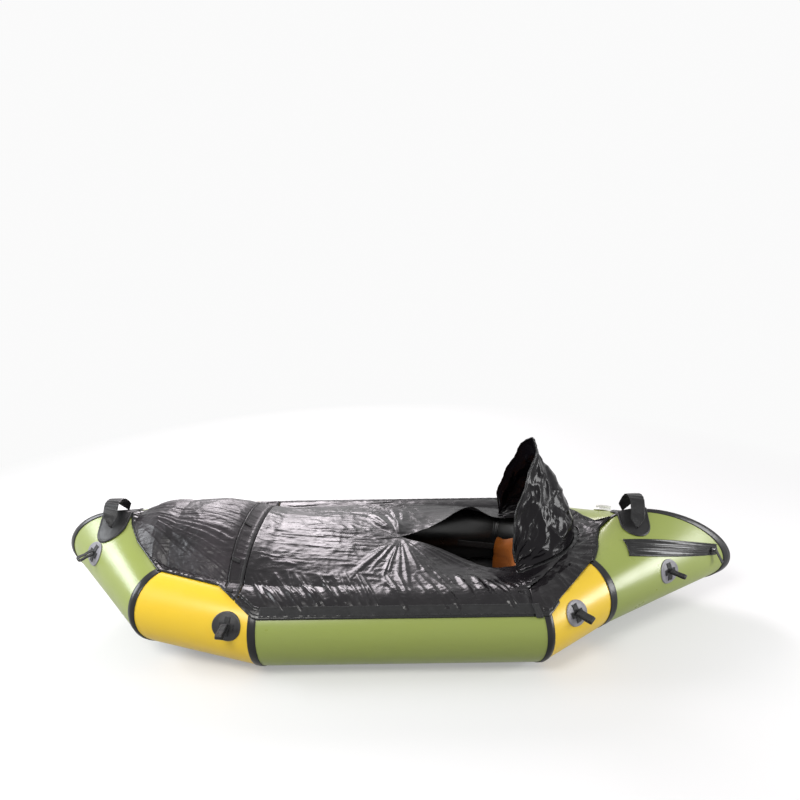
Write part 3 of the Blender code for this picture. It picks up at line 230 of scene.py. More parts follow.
GREEN_FABRIC = coated_fabric("green_coated_nylon", GREEN, 0.32)
YELLOW_FABRIC = coated_fabric("yellow_coated_nylon", YELLOW, 0.36)


def section_length(number):
    """Length of a tube section along its middle line."""
    return float(np.linalg.norm(SEAM_RINGS[number + 1, :3] - SEAM_RINGS[number, :3]))


def tightness(along, angle):
    """The tube is drawn in a little beside each seam, with faint puckers that die away from it."""
    draw, draw_reach, pucker, pucker_reach = 0.0009, 0.020, 0.00025, 0.022
    number = np.clip(along.astype(int), 0, len(TUBES) - 1)
    lengths = np.array([section_length(k) for k in range(len(TUBES))])[number]
    near = np.minimum(along - number, number + 1 - along) * lengths
    ripple = np.sin(np.radians(angle) * 41 + 3 * np.sin(np.radians(angle) * 5 + number))
    drawn_in = -draw * np.exp(-((near / draw_reach) ** 2))
    return drawn_in + pucker * ripple * np.exp(-near / pucker_reach)


# Where the deck's edge lies on the tubes: rows of along and angle
PORT_EDGE = 43.0
BOW_RIM = [(0.0, -35.0), (0.25, -21.0), (0.55, -9.8), (1.0, -6.0)]
PORT_RIM = [(1.62, 0.0), (2.02, PORT_EDGE), (3.02, PORT_EDGE), (3.26, 32.0)]
STARBOARD_RIM = [(1.62, 5.0), (2.02, 10.0), (3.02, 10.0)]
STERN_RIM = [(4.0, 7.0), (4.35, -33.12), (4.72, -64.8), (5.0, -72.0)]

# The painted shade inside starts at this angle amidships, and at the deck's edge elsewhere
PAINTED_SHADE_EDGE = -10.0
ROW_STEP, FEWEST_ROWS = 0.016, 16
TURNS = np.arange(144) * 2.5
for side_name, side in SIDES.items():
    for number, tube_name in enumerate(TUBES):
        rows = max(int(section_length(number) / ROW_STEP), FEWEST_ROWS)
        along = number + np.clip(crowded(rows), 0.0, 1.0 - JUST_SHORT)
        along, angle = np.meshgrid(along, TURNS, indexing="ij")
        points = tube_surface(side, along, angle, tightness(along, angle))
        node = f"{side_name}_{tube_name}_tube"
        tube = skin(node + "_skin", points, around=True, capped=True, flip=side == STARBOARD)
        # The sides that face the cockpit are painted black as shade, for the dark inside, and each
        # edge of the painted shade fades over a few degrees
        inward = (angle + 180) % 360 - 180
        amidships = number in (1, 2, 3)
        straight = [(1.0, PAINTED_SHADE_EDGE), (4.0, PAINTED_SHADE_EDGE)]
        edge = np.array(straight if amidships else BOW_RIM + STERN_RIM)
        painted_shade = np.clip((np.interp(along, edge[:, 0], edge[:, 1]) - 3 - inward) / 8, 0, 1)
        if amidships:
            painted_shade = np.maximum(painted_shade, np.clip((inward - 150) / 14, 0, 1))
        inboard = tube.data.attributes.new("inboard", "FLOAT", "POINT")
        inboard.data.foreach_set("value", painted_shade.ravel())
        if "corner" in tube_name:
            fit_out(tube, "hull", "yellow_fabric", YELLOW_FABRIC, node)
        else:
            fit_out(tube, "hull", "green_fabric", GREEN_FABRIC, node)


# Seam tapes: black coated tape 24 mm wide, welded over each joint between two tube sections, and
# over the tips at bow and stern, where the two sides meet.
TAPE_WIDTH = 0.024
TAPE_LIFT, TAPE_THICKNESS = 0.0004, 0.0012
TAPE_BLACK = (0.006, 0.006, 0.0065)


def black_tape(name, roughness):
    """Glossy welded tape: even black with a faint ripple across it."""
    made, tree, shader = plain_finish(name, TAPE_BLACK, roughness, Specular_IOR_Level=0.36)
    mottled(tree, shader, TAPE_BLACK, (0.018, 0.018, 0.019), 30.0, 0.5)
    bumped(tree, shader, (soft_noise(tree, 55.0, 3.0), "Fac", 0.0012, 0.5))
    return made


SEAM_TAPE = black_tape("black_seam_tape", 0.30)


def end_share(number, end):
    """Share of a section that half a tape's width takes at one of its ends."""
    ring = SEAM_RINGS[number + end]
    run = SEAM_RINGS[number + 1, :2] - SEAM_RINGS[number, :2]
    run = run / np.linalg.norm(run)
    reach = ring[3:5] / np.linalg.norm(ring[3:5])
    return TAPE_WIDTH / 2 / abs(run[0] * reach[1] - run[1] * reach[0]) / section_length(number)


def tape_band(name, strands, thickness, node):
    """A closed band over a seam, from strands of (side, along) laid beside each other."""
    low, high = [], []
    for k, (side, along) in enumerate(strands):
        edge = 1.0 if 0 < k < len(strands) - 1 else 0.35
        low.append(tube_surface(side, along, TURNS, TAPE_LIFT))
        high.append(tube_surface(side, along, TURNS, TAPE_LIFT + thickness * edge))
    ring = np.array([*high, *low[::-1]])
    band = skin(name, ring.transpose(1, 0, 2), around=True, looped=True)
    return fit_out(band, "hull", "black_tape", SEAM_TAPE, node)


# Shares of a tape's half width at which its strands lie, from its edge to near its middle
STRAND_SHARES = (1.0, 0.85, 0.4)
for side_name, side in SIDES.items():
    for number, seam in enumerate(("bow", "front", "rear", "stern"), start=1):
        before, after = end_share(number - 1, 1), end_share(number, 0)
        spread = [number - before * k for k in STRAND_SHARES] + [number - JUST_SHORT]
        spread += [number + after * k for k in STRAND_SHARES[::-1]]
        strands = [(side, np.full(len(TURNS), s)) for s in spread]
        node = f"{side_name}_{seam}_seam_tape"
        tape_band(node + "_band", strands, TAPE_THICKNESS, node)
for end_name, number, end, at in (("bow", 0, 0, 0.0), ("stern", 4, 1, 5.0)):
    width = end_share(number, end)
    inner = [abs(at - width * k) for k in STRAND_SHARES]
    spread = [(PORT, s) for s in inner] + [(PORT, at)] + [(STARBOARD, s) for s in inner[::-1]]
    strands = [(side, np.full(len(TURNS), min(s, STERN_END))) for side, s in spread]
    tape_band(f"{end_name}_tip_band", strands, 2 * TAPE_THICKNESS, f"{end_name}_tip_tape")


# Floor sheet: matt black reinforced fabric, glued to the undersides of the tubes and drawn tight
# between them. It is flat amidships and rises to the bow and the stern.
SOFT_BLACK = (0.020, 0.020, 0.022)
FLOOR_FABRIC, tree, shader = plain_finish("black_floor_fabric", SOFT_BLACK, 0.55)
mottled(tree, shader, SOFT_BLACK, (0.060, 0.057, 0.052), 7.0, 0.6)
bumped(tree, shader, (woven_height(tree, 0.0016), "Value", 0.0002, 0.6))

# The sheet's edge runs this far outboard of the tubes' lowest line, and this far under it
FLOOR_MARGIN, FLOOR_TIP_MARGIN = 0.014, 0.004
FLOOR_THICKNESS, FLOOR_DROP = 0.0028, 0.005
floor_rows = []
shares = np.linspace(-1, 1, 61)
inside = 1 - shares**2
for along in np.linspace(0.0, STERN_END, 91):
    number = int(along)
    weights = number + 1 - along, along - number
    x, y, z, reach_x, reach_y, radius, droop = SEAM_RINGS[number : number + 2].T @ weights
    margin = FLOOR_TIP_MARGIN if along in (0.0, STERN_END) else FLOOR_MARGIN
    reach = sqrt(reach_x**2 + reach_y**2)
    edge_x, half = x + reach_x / reach * margin, max(-(y + reach_y / reach * margin), margin)
    height = z - radius - FLOOR_DROP - droop * margin / reach * 2
    rise = 0.0006 * np.sin(shares * 19 + along * 3) * inside + 0.0008 * np.cos(along * 21) * inside
    flat_x, flat_y = np.full_like(shares, edge_x), half * shares
    top = np.stack((flat_x, flat_y, height + FLOOR_THICKNESS + np.minimum(rise, 0)), -1)
    low = np.stack((flat_x, flat_y, np.full_like(shares, height)), -1)
    floor_rows.append(np.concatenate((top, low[::-1])))
floor_skin = skin("floor_sheet_skin", np.array(floor_rows), around=True, capped=True, flip=True)
fit_out(floor_skin, "hull", "floor_fabric", FLOOR_FABRIC, "floor_sheet")


# Spray deck: one thin coated cloth in several pieces, glued down on the tubes along its edges.
# It is domed and tight at the bow, flat at the cockpit, and full of creases where it is gathered.
DECK_RISE = 0.112
PORT_SAG = 0.026
DECK_LIFT = 0.0026
DECK_THICKNESS = 0.0011
STERN_TIP = STERN_END, STERN_RIM[-1][1]
BAND_FRONT, BAND_REAR = -0.56732, -0.51732
BAND_GAP = 0.0006
SIDE_START, SIDE_END = -0.45532, 0.41364
COCKPIT_FRONT, COCKPIT_REAR = -0.00936, 0.59064
FOLD_SEAM = 0.300


def rim_points(rows):
    """A rim from rows of (along, angle), seen from above on the port side."""
    rows, path = np.array(rows), []
    for low, high in zip(rows, rows[1:]):
        path += [low + (high - low) * k / 6 for k in range(6)]
    along, angle = np.array([*path, rows[-1]]).T
    points = tube_surface(PORT, np.minimum(along, STERN_END), angle)
    return np.stack((points[:, 0], -points[:, 1]), -1)


RIMS = {
    PORT: rim_points(BOW_RIM + PORT_RIM + STERN_RIM),
    STARBOARD: rim_points(BOW_RIM + STARBOARD_RIM + STERN_RIM),
}
CREST = rim_points([(0.0, -8.0), (5.0, -8.0)])
# The deck's arch over the crests, as shares of its length and of its greatest rise
CROWN_PLACES = (0.0, 0.035, 0.07, 0.115, 0.165, 0.215, 0.26, 0.42, 0.58, 0.80, 1.0)
CROWN_HEIGHTS = (0.0, 0.42, 0.76, 0.94, 1.0, 0.86, 0.56, 0.30, 0.10, 0.10, 0.0)


def eased_curve(knots, heights, count=400):
    """A smooth curve through a few points, level where it turns back, as two arrays."""
    steps, rises = np.diff(knots), np.diff(heights)
    slopes = [0.0]
    for before, after in zip(rises / steps, (rises / steps)[1:]):
        slopes.append(0.0 if before * after <= 0 else 2 * before * after / (before + after))
    slopes.append(0.0)
    places = np.linspace(knots[0], knots[-1], count)
    i = np.clip(np.searchsorted(knots, places) - 1, 0, len(steps) - 1)
    t, width = (places - np.take(knots, i)) / steps[i], steps[i]
    start, end = np.take(heights, i), np.take(heights, i + 1)
    values = (2 * t**3 - 3 * t**2 + 1) * start
    values = values + (t**3 - 2 * t**2 + t) * width * np.take(slopes, i)
    values = values + (3 * t**2 - 2 * t**3) * end
    return places, values + (t**3 - t**2) * width * np.take(slopes, i + 1)


CROWN = eased_curve(CROWN_PLACES, CROWN_HEIGHTS)
HALVINGS = 26


def tube_top(x, y, lift):
    """Height of something that lies on the tubes under a point seen from above; nan beside them."""
    x, y = np.broadcast_arrays(np.asarray(x, float), -np.abs(y))
    found = np.full(x.shape, np.nan)
    for low, high in zip(SEAM_RINGS, SEAM_RINGS[1:]):

        def off(share):
            ring = low + (high - low) * share[..., None]
            return (x - ring[..., 0]) * ring[..., 4] - (y - ring[..., 1]) * ring[..., 3]

        start, end = np.zeros(x.shape), np.ones(x.shape)
        first = off(start)
        inside = first * off(end) <= 0
        for _ in range(HALVINGS):
            middle = (start + end) / 2
            same = first * off(middle) > 0
            start, end = np.where(same, middle, start), np.where(same, end, middle)
        ring = low + (high - low) * end[..., None]
        cx, cy, cz, rx, ry, radius, droop = np.moveaxis(ring, -1, 0)
        grow = 1 + lift / radius
        outboard = ((x - cx) * rx + (y - cy) * ry) / (rx**2 + ry**2) / grow
        height = cz + (radius * np.sqrt(np.clip(1 - outboard**2, 0, 1)) - droop * outboard) * grow
        found = np.where(inside & (np.abs(outboard) <= 1) & np.isnan(found), height, found)
    return found


def swell(value, start, end):
    """Rises from 0 at start to 1 midway and falls to 0 at end."""
    share = (value - start) / (end - start)
    return np.where((share > 0) & (share < 1), np.sin(np.pi * share) ** 2, 0.0)


def rim_y(side, x):
    """Distance from the middle line to a side's rim."""
    return np.interp(x, RIMS[side][:, 0], RIMS[side][:, 1])


def deck_top(x, y, lift=DECK_LIFT):
    """Height of the deck cloth at points seen from above."""
    x, y = np.broadcast_arrays(np.asarray(x, float), np.asarray(y, float))
    crest = np.interp(x, CREST[:, 0], CREST[:, 1])
    anchor = np.minimum(np.minimum(rim_y(PORT, x), rim_y(STARBOARD, x)), crest)
    resting = tube_top(x, y, lift)
    base = tube_top(x, anchor, lift)
    stern_tip = tube_surface(PORT, *STERN_TIP, lift)[..., 2]
    base = np.where(np.isnan(base), stern_tip, base)
    ends = RIMS[PORT][0, 0], RIMS[PORT][-1, 0]
    rise = DECK_RISE * np.interp((x - ends[0]) / (ends[1] - ends[0]), *CROWN)
    across = np.minimum(np.abs(y) / np.maximum(anchor, 1e-6), 1.0)
    sag = PORT_SAG * swell(x, COCKPIT_FRONT, COCKPIT_REAR) * swell(across, 0.0, 1.0)
    sag = np.where(y < 0, sag, 0.0)
    height = base + rise * (1 - across**2.5) - sag
    free = np.where(np.isnan(resting), height, np.maximum(height, resting))
    return np.where((np.abs(y) >= anchor) & ~np.isnan(resting), resting, free)


def folds(x, y, lines):
    """Height of ridges along lines of (x, y, x, y, half width, height), steeper on one side."""
    steep_share = 0.55
    total = np.zeros(np.shape(x))
    for x0, y0, x1, y1, width, height in lines:
        run = sqrt((x1 - x0) ** 2 + (y1 - y0) ** 2)
        share = ((x - x0) * (x1 - x0) + (y - y0) * (y1 - y0)) / run**2
        off = ((x - x0) * (y1 - y0) - (y - y0) * (x1 - x0)) / run
        off = off + 0.10 * width * np.sin(share * 9 + x0 * 50)
        reach = np.where(off > 0, width, width * steep_share)
        shape = np.sin(np.pi * np.clip(share, 0, 1)) ** 0.6
        shape = np.where((share > 0) & (share < 1), shape, 0.0)
        total = np.maximum(total, height * shape * np.exp(-((np.abs(off) / reach) ** 1.4)))
    return total


def crumple(x, y, size, seed):
    """Uneven creases: the sharp meeting lines of soft noise, from 0 to about 1."""
    flat = zip((np.ravel(x) / size).tolist(), (np.ravel(y) / size).tolist())
    values = [noise.noise((a, b, seed)) for a, b in flat]
    return (1 - np.abs(np.array(values)) * 2.2).reshape(np.shape(x))


rng = np.random.default_rng(7)


def spread_folds(count, place, width, height):
    """Random folds; place gives each one's two ends from three random numbers."""
    lines = []
    for _ in range(count):
        start, end = place(*rng.random(3))
        size = 0.45 + 0.9 * rng.random()
        lines.append((*start, *end, width * size, height * size))
    return lines


def from_fan(low, high, near, far):
    """Ends of a fold that runs out from the point at the front of the cockpit."""

    def place(a, b, c):
        turn = radians(low + (high - low) * a)
        start, end = near + 0.05 * b, far * (0.45 + 0.55 * c)
        lean = radians(6 * (b - 0.5))
        first = COCKPIT_FRONT - start * cos(turn), start * sin(turn)
        return first, (COCKPIT_FRONT - end * cos(turn + lean), end * sin(turn + lean))

    return place


def over_side(low, high, lean):
    """Ends of a fold that hangs over the port side tube."""

    def place(a, b, c):
        x = low + (high - low) * a
        return (x, -0.235 - 0.07 * b), (x + lean * (0.5 + c), -0.375 - 0.055 * c)

    return place


def along_bow(a, b, c):
    """Ends of a long crease on the domed bow deck, fanning from the nose."""
    x, spread = -0.94 + 0.30 * a, (b * 2 - 1)
    end = min(x + 0.10 + 0.28 * c, -0.572)
    return (x, spread * (0.06 + 1.05 * (x + 0.95))), (end, spread * (0.06 + 1.12 * (end + 0.95)))


def to_band(a, b, c):
    """Ends of a fine crease that runs aft and outboard from the joining band."""
    x, y = -0.51 + 0.42 * a, (b * 2 - 1) * 0.34
    return (x, y), (x + 0.07 + 0.20 * c, y * (1.02 + 0.10 * c) + 0.02 * (a - 0.5))


def behind_collar(a, b, c):
    """Ends of a crease that fans out from under the collar."""
    turn = (a * 2 - 1) * 1.25
    near, far = 0.20 + 0.05 * b, 0.30 + 0.14 * c
    first = 0.40 + near * cos(turn), 1.2 * near * sin(turn)
    return first, (0.40 + far * cos(turn + 0.08), 1.2 * far * sin(turn + 0.08))


# Count, place, half width and height of each group; their order sets the random draws
BOW_FOLDS = spread_folds(105, along_bow, 0.0068, 0.0030)
PANEL_FOLDS = spread_folds(7, from_fan(45, 110, 0.012, 0.27), 0.0200, 0.0120)
PANEL_FOLDS += spread_folds(12, from_fan(-35, 35, 0.015, 0.15), 0.0060, 0.0026)
PANEL_FOLDS += spread_folds(34, from_fan(-168, -50, 0.015, 0.42), 0.0075, 0.0050)
PANEL_FOLDS += spread_folds(30, over_side(-0.50, -0.20, 0.085), 0.0075, 0.0075)
PANEL_FOLDS += spread_folds(60, over_side(-0.24, 0.42, 0.060), 0.0070, 0.0075)
PANEL_FOLDS += spread_folds(80, to_band, 0.0060, 0.0028)
STERN_FOLDS = spread_folds(70, behind_collar, 0.0070, 0.0060)


def deck_cloth_points(x, y, lines, rough=0.0012, raised=0.0):
    """Deck points with their folds and crumples raised square to the cloth."""
    points = np.stack((x, y, deck_top(x, y) + raised), -1)
    square = np.cross(np.gradient(points, axis=0), np.gradient(points, axis=1))
    square /= np.maximum(np.linalg.norm(square, axis=2, keepdims=True), 1e-12)
    square *= np.sign(square[..., 2:])
    relief = folds(x, y, lines) + rough * np.clip(crumple(x, y, 0.045, 3.7), 0, 1) ** 2
    relief += rough * 0.45 * np.clip(crumple(x, y, 0.016, 8.1), 0, 1) ** 2
    return points + square * relief[..., None]


CLOTH_BLACK = (0.006, 0.005, 0.0065)


def deck_cloth(name, stretch, relief, roughness, drift_colour, shine):
    """Thin black coated cloth, creased along one direction. Its base colour drifts in clouds
    towards a second colour, a painted purple-grey sheen where that one is paler.
    """
    made, tree, shader = plain_finish(name, CLOTH_BLACK, roughness, Specular_IOR_Level=shine)
    # Painted sheen: clouds of a paler second colour in the base colour, where one is given
    mottled(tree, shader, CLOTH_BLACK, drift_colour, 7.0, 0.6)
    varied_roughness(tree, shader, roughness - 0.06, roughness + 0.10, 12.0)
    place = add(tree, "TexCoord")
    drawn = add(tree, "Mapping", {"Vector": (place, "Object"), "Scale": stretch})
    look = {"Scale": 34.0, "Detail": 3.0, "Roughness": 0.45, "Distortion": 0.25}
    ripple = add(tree, "TexNoise", {"Vector": (drawn, "Vector"), **look})
    # The meeting lines of soft noise make sharp, broken creases
    centred = add(tree, "Math", {0: (ripple, "Fac"), 1: 0.5}, operation="SUBTRACT")
    crease = add(tree, "Math", {0: (centred, "Value")}, operation="ABSOLUTE")
    broad = soft_noise(tree, 13.0, 2.0)
    soft, sharp = (broad, "Fac", 0.0060 * relief, 0.5), (crease, "Value", 0.0080 * relief, 0.6)
    bumped(tree, shader, soft, sharp)
    return made


# Painted sheen: the paler purple-grey colours that the bow and middle cloths drift towards, far
# paler on the bow though it is the same cloth
BOW_PAINTED_SHEEN, PANEL_PAINTED_SHEEN = (0.056, 0.046, 0.053), (0.011, 0.009, 0.010)
BOW_CLOTH = deck_cloth("black_bow_deck_cloth", (0.13, 1.0, 1.0), 1.0, 0.34, BOW_PAINTED_SHEEN, 0.28)
PANEL_CLOTH = deck_cloth("black_middle_deck_cloth", (0.45, 0.8, 0.8), 0.6, 0.25, PANEL_PAINTED_SHEEN, 0.32)


def thickened(piece, thickness=DECK_THICKNESS):
    """A sheet with its thickness added above its grid of points."""
    shell = piece.modifiers.new("thickness", "SOLIDIFY")
    shell.thickness = thickness
    shell.offset = 1.0
    return piece


def made_plain(piece):
    """The piece with its modifiers turned into plain mesh."""
    bpy.context.view_layer.update()
    finished = piece.evaluated_get(bpy.context.evaluated_depsgraph_get())
    solid = bpy.data.meshes.new_from_object(finished)
    piece.modifiers.clear()
    piece.data = solid
    return piece


# Bow deck
shares = np.linspace(0, 1, 145) ** 1.25
nose = RIMS[PORT][0, 0] + 0.003
bow_x = (nose + (BAND_FRONT - BAND_GAP - nose) * shares)[:, None]
across = crowded(230)
grid_y = -rim_y(PORT, bow_x) + (rim_y(PORT, bow_x) + rim_y(STARBOARD, bow_x)) * across
points = deck_cloth_points(bow_x + 0 * across, grid_y, BOW_FOLDS)
bow_deck = thickened(skin("bow_deck_cloth", points, flip=True))
fit_out(bow_deck, "hull", "deck_cloth", BOW_CLOTH, "bow_deck")


# Half the hem's width, how far aft of the side tubes it reaches, how far its ends lie forward of
# its middle, and how blunt its point is
HEM_HALF, HEM_REAR, HEM_BOW, HEM_ROUND = 0.344, 0.222, 0.262, 0.02


def hem_x(y):
    """The line behind the collar where the middle panel ends, furthest aft in the middle."""
    share = np.minimum(np.abs(y) / HEM_HALF, 1.0)
    forward = (share**2 + HEM_ROUND) ** 0.625 - HEM_ROUND**0.625
    return SIDE_END + HEM_REAR - HEM_BOW * forward


# The cockpit's greatest half widths, and the share of its length at which they are reached
COCKPIT_PORT, COCKPIT_STARBOARD, COCKPIT_WIDEST = 0.170, 0.195, 0.62


def cockpit_halves(x):
    """Distances from the middle line to the cockpit's port and starboard edges."""
    share = np.clip((x - COCKPIT_FRONT) / (COCKPIT_REAR - COCKPIT_FRONT), 0, 1)
    past = np.maximum(0.0, (share - COCKPIT_WIDEST) / (1 - COCKPIT_WIDEST))
    back = np.sqrt(np.maximum(0.0, 1 - past**2.6))
    shape = np.minimum(share / COCKPIT_WIDEST, 1.0) ** 0.9 * back
    return COCKPIT_PORT * shape, COCKPIT_STARBOARD * shape


# Middle panel: sewn to the starboard strip along the fold seam, and held by hook tape to port
PANEL_FRONT = BAND_REAR + 2 * BAND_GAP
SEAM_GAP = 0.0004
# The hem's place depends on y and the rim's on x, so a grid between them is found in rounds
ROUNDS = 6


def panel_grid(side, rows, columns):
    """Half of the middle panel, from the middle line or the cockpit's edge to its outer edge."""
    length = hem_x(0.0) - PANEL_FRONT
    front, rear = (COCKPIT_FRONT - PANEL_FRONT) / length, (COCKPIT_REAR - PANEL_FRONT) / length
    beside_cockpit = front + (rear - front) * crowded(rows // 2)[1:]
    shares = np.concatenate((np.linspace(0, front, rows // 2), beside_cockpit, [1.0]))
    middle_x = (PANEL_FRONT + length * shares)[:, None]
    near = side * cockpit_halves(middle_x)[0 if side == PORT else 1]
    s = crowded(columns)[None, :]
    x, y = middle_x + 0 * s, near + 0 * s
    for _ in range(ROUNDS):
        far = -rim_y(PORT, x) if side == PORT else FOLD_SEAM - SEAM_GAP
        y = near + (far - near) * s
        x = PANEL_FRONT + (hem_x(y) - PANEL_FRONT) * shares[:, None]
    return x, y


# The cockpit's starboard rim stands up towards the collar
COLLAR_HALF = 0.205
COAMING_RISE, COAMING_END = 0.045, SIDE_END - COLLAR_HALF / 4
halves = []
for side, columns in ((PORT, 130), (STARBOARD, 70)):
    grid_x, grid_y = panel_grid(side, 200, columns)
    share = np.clip((grid_x - COCKPIT_FRONT) / (COAMING_END - COCKPIT_FRONT), 0, 1)
    rim = COAMING_RISE * swell(share**1.8, 0, 1) * (1 - crowded(columns)[None, :]) ** 3
    rim = rim if side == STARBOARD else 0.0
    points = deck_cloth_points(grid_x, grid_y, PANEL_FOLDS, raised=rim)
    halves.append(skin(f"panel_half_{columns}", points, flip=side == STARBOARD))
with bpy.context.temp_override(active_object=halves[0], selected_editable_objects=halves):
    bpy.ops.object.join()
middle_panel = halves[0]
middle_panel.name = "middle_deck_panel_cloth"
weld = middle_panel.modifiers.new("weld", "WELD")
weld.merge_threshold = 0.0003
made_plain(thickened(middle_panel))
fit_out(middle_panel, "deck_panel", "deck_cloth", PANEL_CLOTH, "middle_deck_panel")

# Starboard strip, from the fold seam to its edge on the side tube
shares = np.linspace(0, 1, 120)[:, None]
s = np.linspace(0, 1, 20)[None, :]
x = PANEL_FRONT + 0 * shares * s
for _ in range(ROUNDS):
    y = FOLD_SEAM + SEAM_GAP + (rim_y(STARBOARD, x) - FOLD_SEAM - SEAM_GAP) * s
    x = PANEL_FRONT + (hem_x(y) - PANEL_FRONT) * shares
points = deck_cloth_points(x, y, PANEL_FOLDS, 0.0009)
strip = thickened(skin("starboard_strip_cloth", points, flip=True))
fit_out(strip, "hull", "deck_cloth", PANEL_CLOTH, "starboard_deck_strip")

# A flap of the deck cloth under the middle panel's rear hem closes the gap to the stern deck
run = np.linspace(-0.416, 0.352, 170)[:, None]
aft = np.linspace(-0.022, 0.012, 7)[None, :]
lift = 0.0010 * (1 - np.linspace(0, 1, 7)) + 0.0002
flap_x = hem_x(run) + 0.002 + aft
points = np.stack((flap_x, run + 0 * aft, deck_top(flap_x, run, lift[None, :])), -1)
flap = thickened(skin("rear_hem_flap", points), 0.0006)
fit_out(flap, "hull", "deck_cloth", PANEL_CLOTH)

# Stern deck, gathered between the hem behind the collar and its rim on the stern tubes
HALF_BEAM = 0.472


def stern_rim_x(side, y):
    """The stern deck's rear edge on one side."""
    line = RIMS[side][RIMS[side][:, 0] > SIDE_END - 0.02]
    order = np.argsort(line[:, 1])
    return np.interp(np.abs(y), line[order, 1], line[order, 0])


corner_x = hem_x(HALF_BEAM) + 0.01
port_end, starboard_end = -rim_y(PORT, corner_x), rim_y(STARBOARD, corner_x)
y = (port_end + (starboard_end - port_end) * crowded(240))[:, None]
start = hem_x(y) + 0.004
end = np.where(y < 0, stern_rim_x(PORT, y), stern_rim_x(STARBOARD, y))
f = np.linspace(0, 1, 40)[None, :]
x = start + (end - start) * f
points = deck_cloth_points(x, y + 0 * f, STERN_FOLDS, 0.0022)
stern_deck = thickened(skin("stern_deck_cloth", points))
fit_out(stern_deck, "hull", "deck_cloth", PANEL_CLOTH, "stern_deck")


def closed_up(piece):
    """Merges doubled points and turns the faces outward."""
    bm = bmesh.new()
    bm.from_mesh(piece.data)
    bmesh.ops.remove_doubles(bm, verts=bm.verts, dist=0.00002)
    bmesh.ops.dissolve_degenerate(bm, dist=0.00001, edges=bm.edges)
    bmesh.ops.recalc_face_normals(bm, faces=bm.faces)
    bm.to_mesh(piece.data)
    bm.free()
    return piece


def strap(name, low, high):
    """A closed strip from the grids of its under and upper faces."""
    ring = np.concatenate((high, low[:, ::-1]), axis=1)
    return closed_up(skin(name, ring, around=True, capped=True))


def row_of_bits():
    """Geometry Nodes tree: small rounded bits at an even pitch along edges. Each one lies along its
    edge and stands on the way out that the edge's points carry."""
    tree = bpy.data.node_groups.new("row_of_bits", "GeometryNodeTree")
    keys = {}
    for name in ("Geometry", "Pitch", "Length", "Width", "Height", "Material"):
        kind = "NodeSocket" + (name if name in ("Geometry", "Material") else "Float")
        keys[name] = tree.interface.new_socket(name, in_out="INPUT", socket_type=kind).identifier
    tree.interface.new_socket("Geometry", in_out="OUTPUT", socket_type="NodeSocketGeometry")
    given = add(tree, "NodeGroupInput")
    line = add(tree, "GeometryNodeMeshToCurve", {"Mesh": (given, "Geometry")})
    even = {"Curve": (line, "Curve"), "Length": (given, "Pitch")}
    even = add(tree, "GeometryNodeResampleCurve", even, mode="LENGTH")
    sizes = {"X": (given, "Length"), "Y": (given, "Width"), "Z": (given, "Height")}
    sizes = add(tree, "CombineXYZ", sizes)
    bead = add(tree, "GeometryNodeMeshUVSphere", {"Segments": 8, "Rings": 5, "Radius": 0.5})
    bit = {"Geometry": (bead, "Mesh"), "Scale": (sizes, "Vector")}
    bit = add(tree, "GeometryNodeTransform", bit)
    named, align = "GeometryNodeInputNamedAttribute", "FunctionNodeAlignRotationToVector"
    out = add(tree, named, {"Name": "out"}, data_type="FLOAT_VECTOR")
    ahead = add(tree, "GeometryNodeInputTangent")
    upright = add(tree, align, {"Vector": (out, "Attribute")}, axis="Z")
    turned = {"Rotation": (upright, "Rotation"), "Vector": (ahead, "Tangent")}
    turned = add(tree, align, turned, axis="X", pivot_axis="Z")
    placed = {"Instance": (bit, "Geometry"), "Rotation": (turned, "Rotation")}
    placed = add(tree, "GeometryNodeInstanceOnPoints", {"Points": (even, "Curve"), **placed})
    real = add(tree, "GeometryNodeRealizeInstances", {"Geometry": (placed, "Instances")})
    dressed = {"Geometry": (real, "Geometry"), "Material": (given, "Material")}
    dressed = add(tree, "GeometryNodeSetMaterial", dressed)
    add(tree, "NodeGroupOutput", {"Geometry": (dressed, "Geometry")})
    return tree, keys


BITS, BITS_KEYS = row_of_bits()
STITCHES = {"hull": [], "deck_panel": [], "collar": []}
UPWARD = np.array((0.0, 0.0, 1.0))


def bits(name, lines, pitch, size, body, slot, material):
    """Rows of small bits along lines of (points, ways out); size is length, width and height."""
    starts = np.cumsum([0] + [len(points) for points, _ in lines])
    spans = zip(starts[:-1].tolist(), starts[1:].tolist())
    edges = [(k, k + 1) for a, b in spans for k in range(a, b - 1)]
    mesh = bpy.data.meshes.new(name)
    mesh.from_pydata(np.concatenate([points for points, _ in lines]).tolist(), edges, [])
    outs = np.concatenate([np.broadcast_to(out, points.shape) for points, out in lines])
    out = mesh.attributes.new("out", "FLOAT_VECTOR", "POINT")
    out.data.foreach_set("vector", outs.ravel())
    made = bpy.data.objects.new(name, mesh)
    bpy.context.scene.collection.objects.link(made)
    rows = made.modifiers.new("bits", "NODES")
    rows.node_group = BITS
    length, width, height = size
    rows[BITS_KEYS["Pitch"]] = pitch
    rows[BITS_KEYS["Length"]] = length
    rows[BITS_KEYS["Width"]] = width
    rows[BITS_KEYS["Height"]] = height
    rows[BITS_KEYS["Material"]] = material
    made_plain(made)
    made.data.uv_layers.new(name="UVMap")
    made.data.shade_smooth()
    return fit_out(made, body, slot, material)


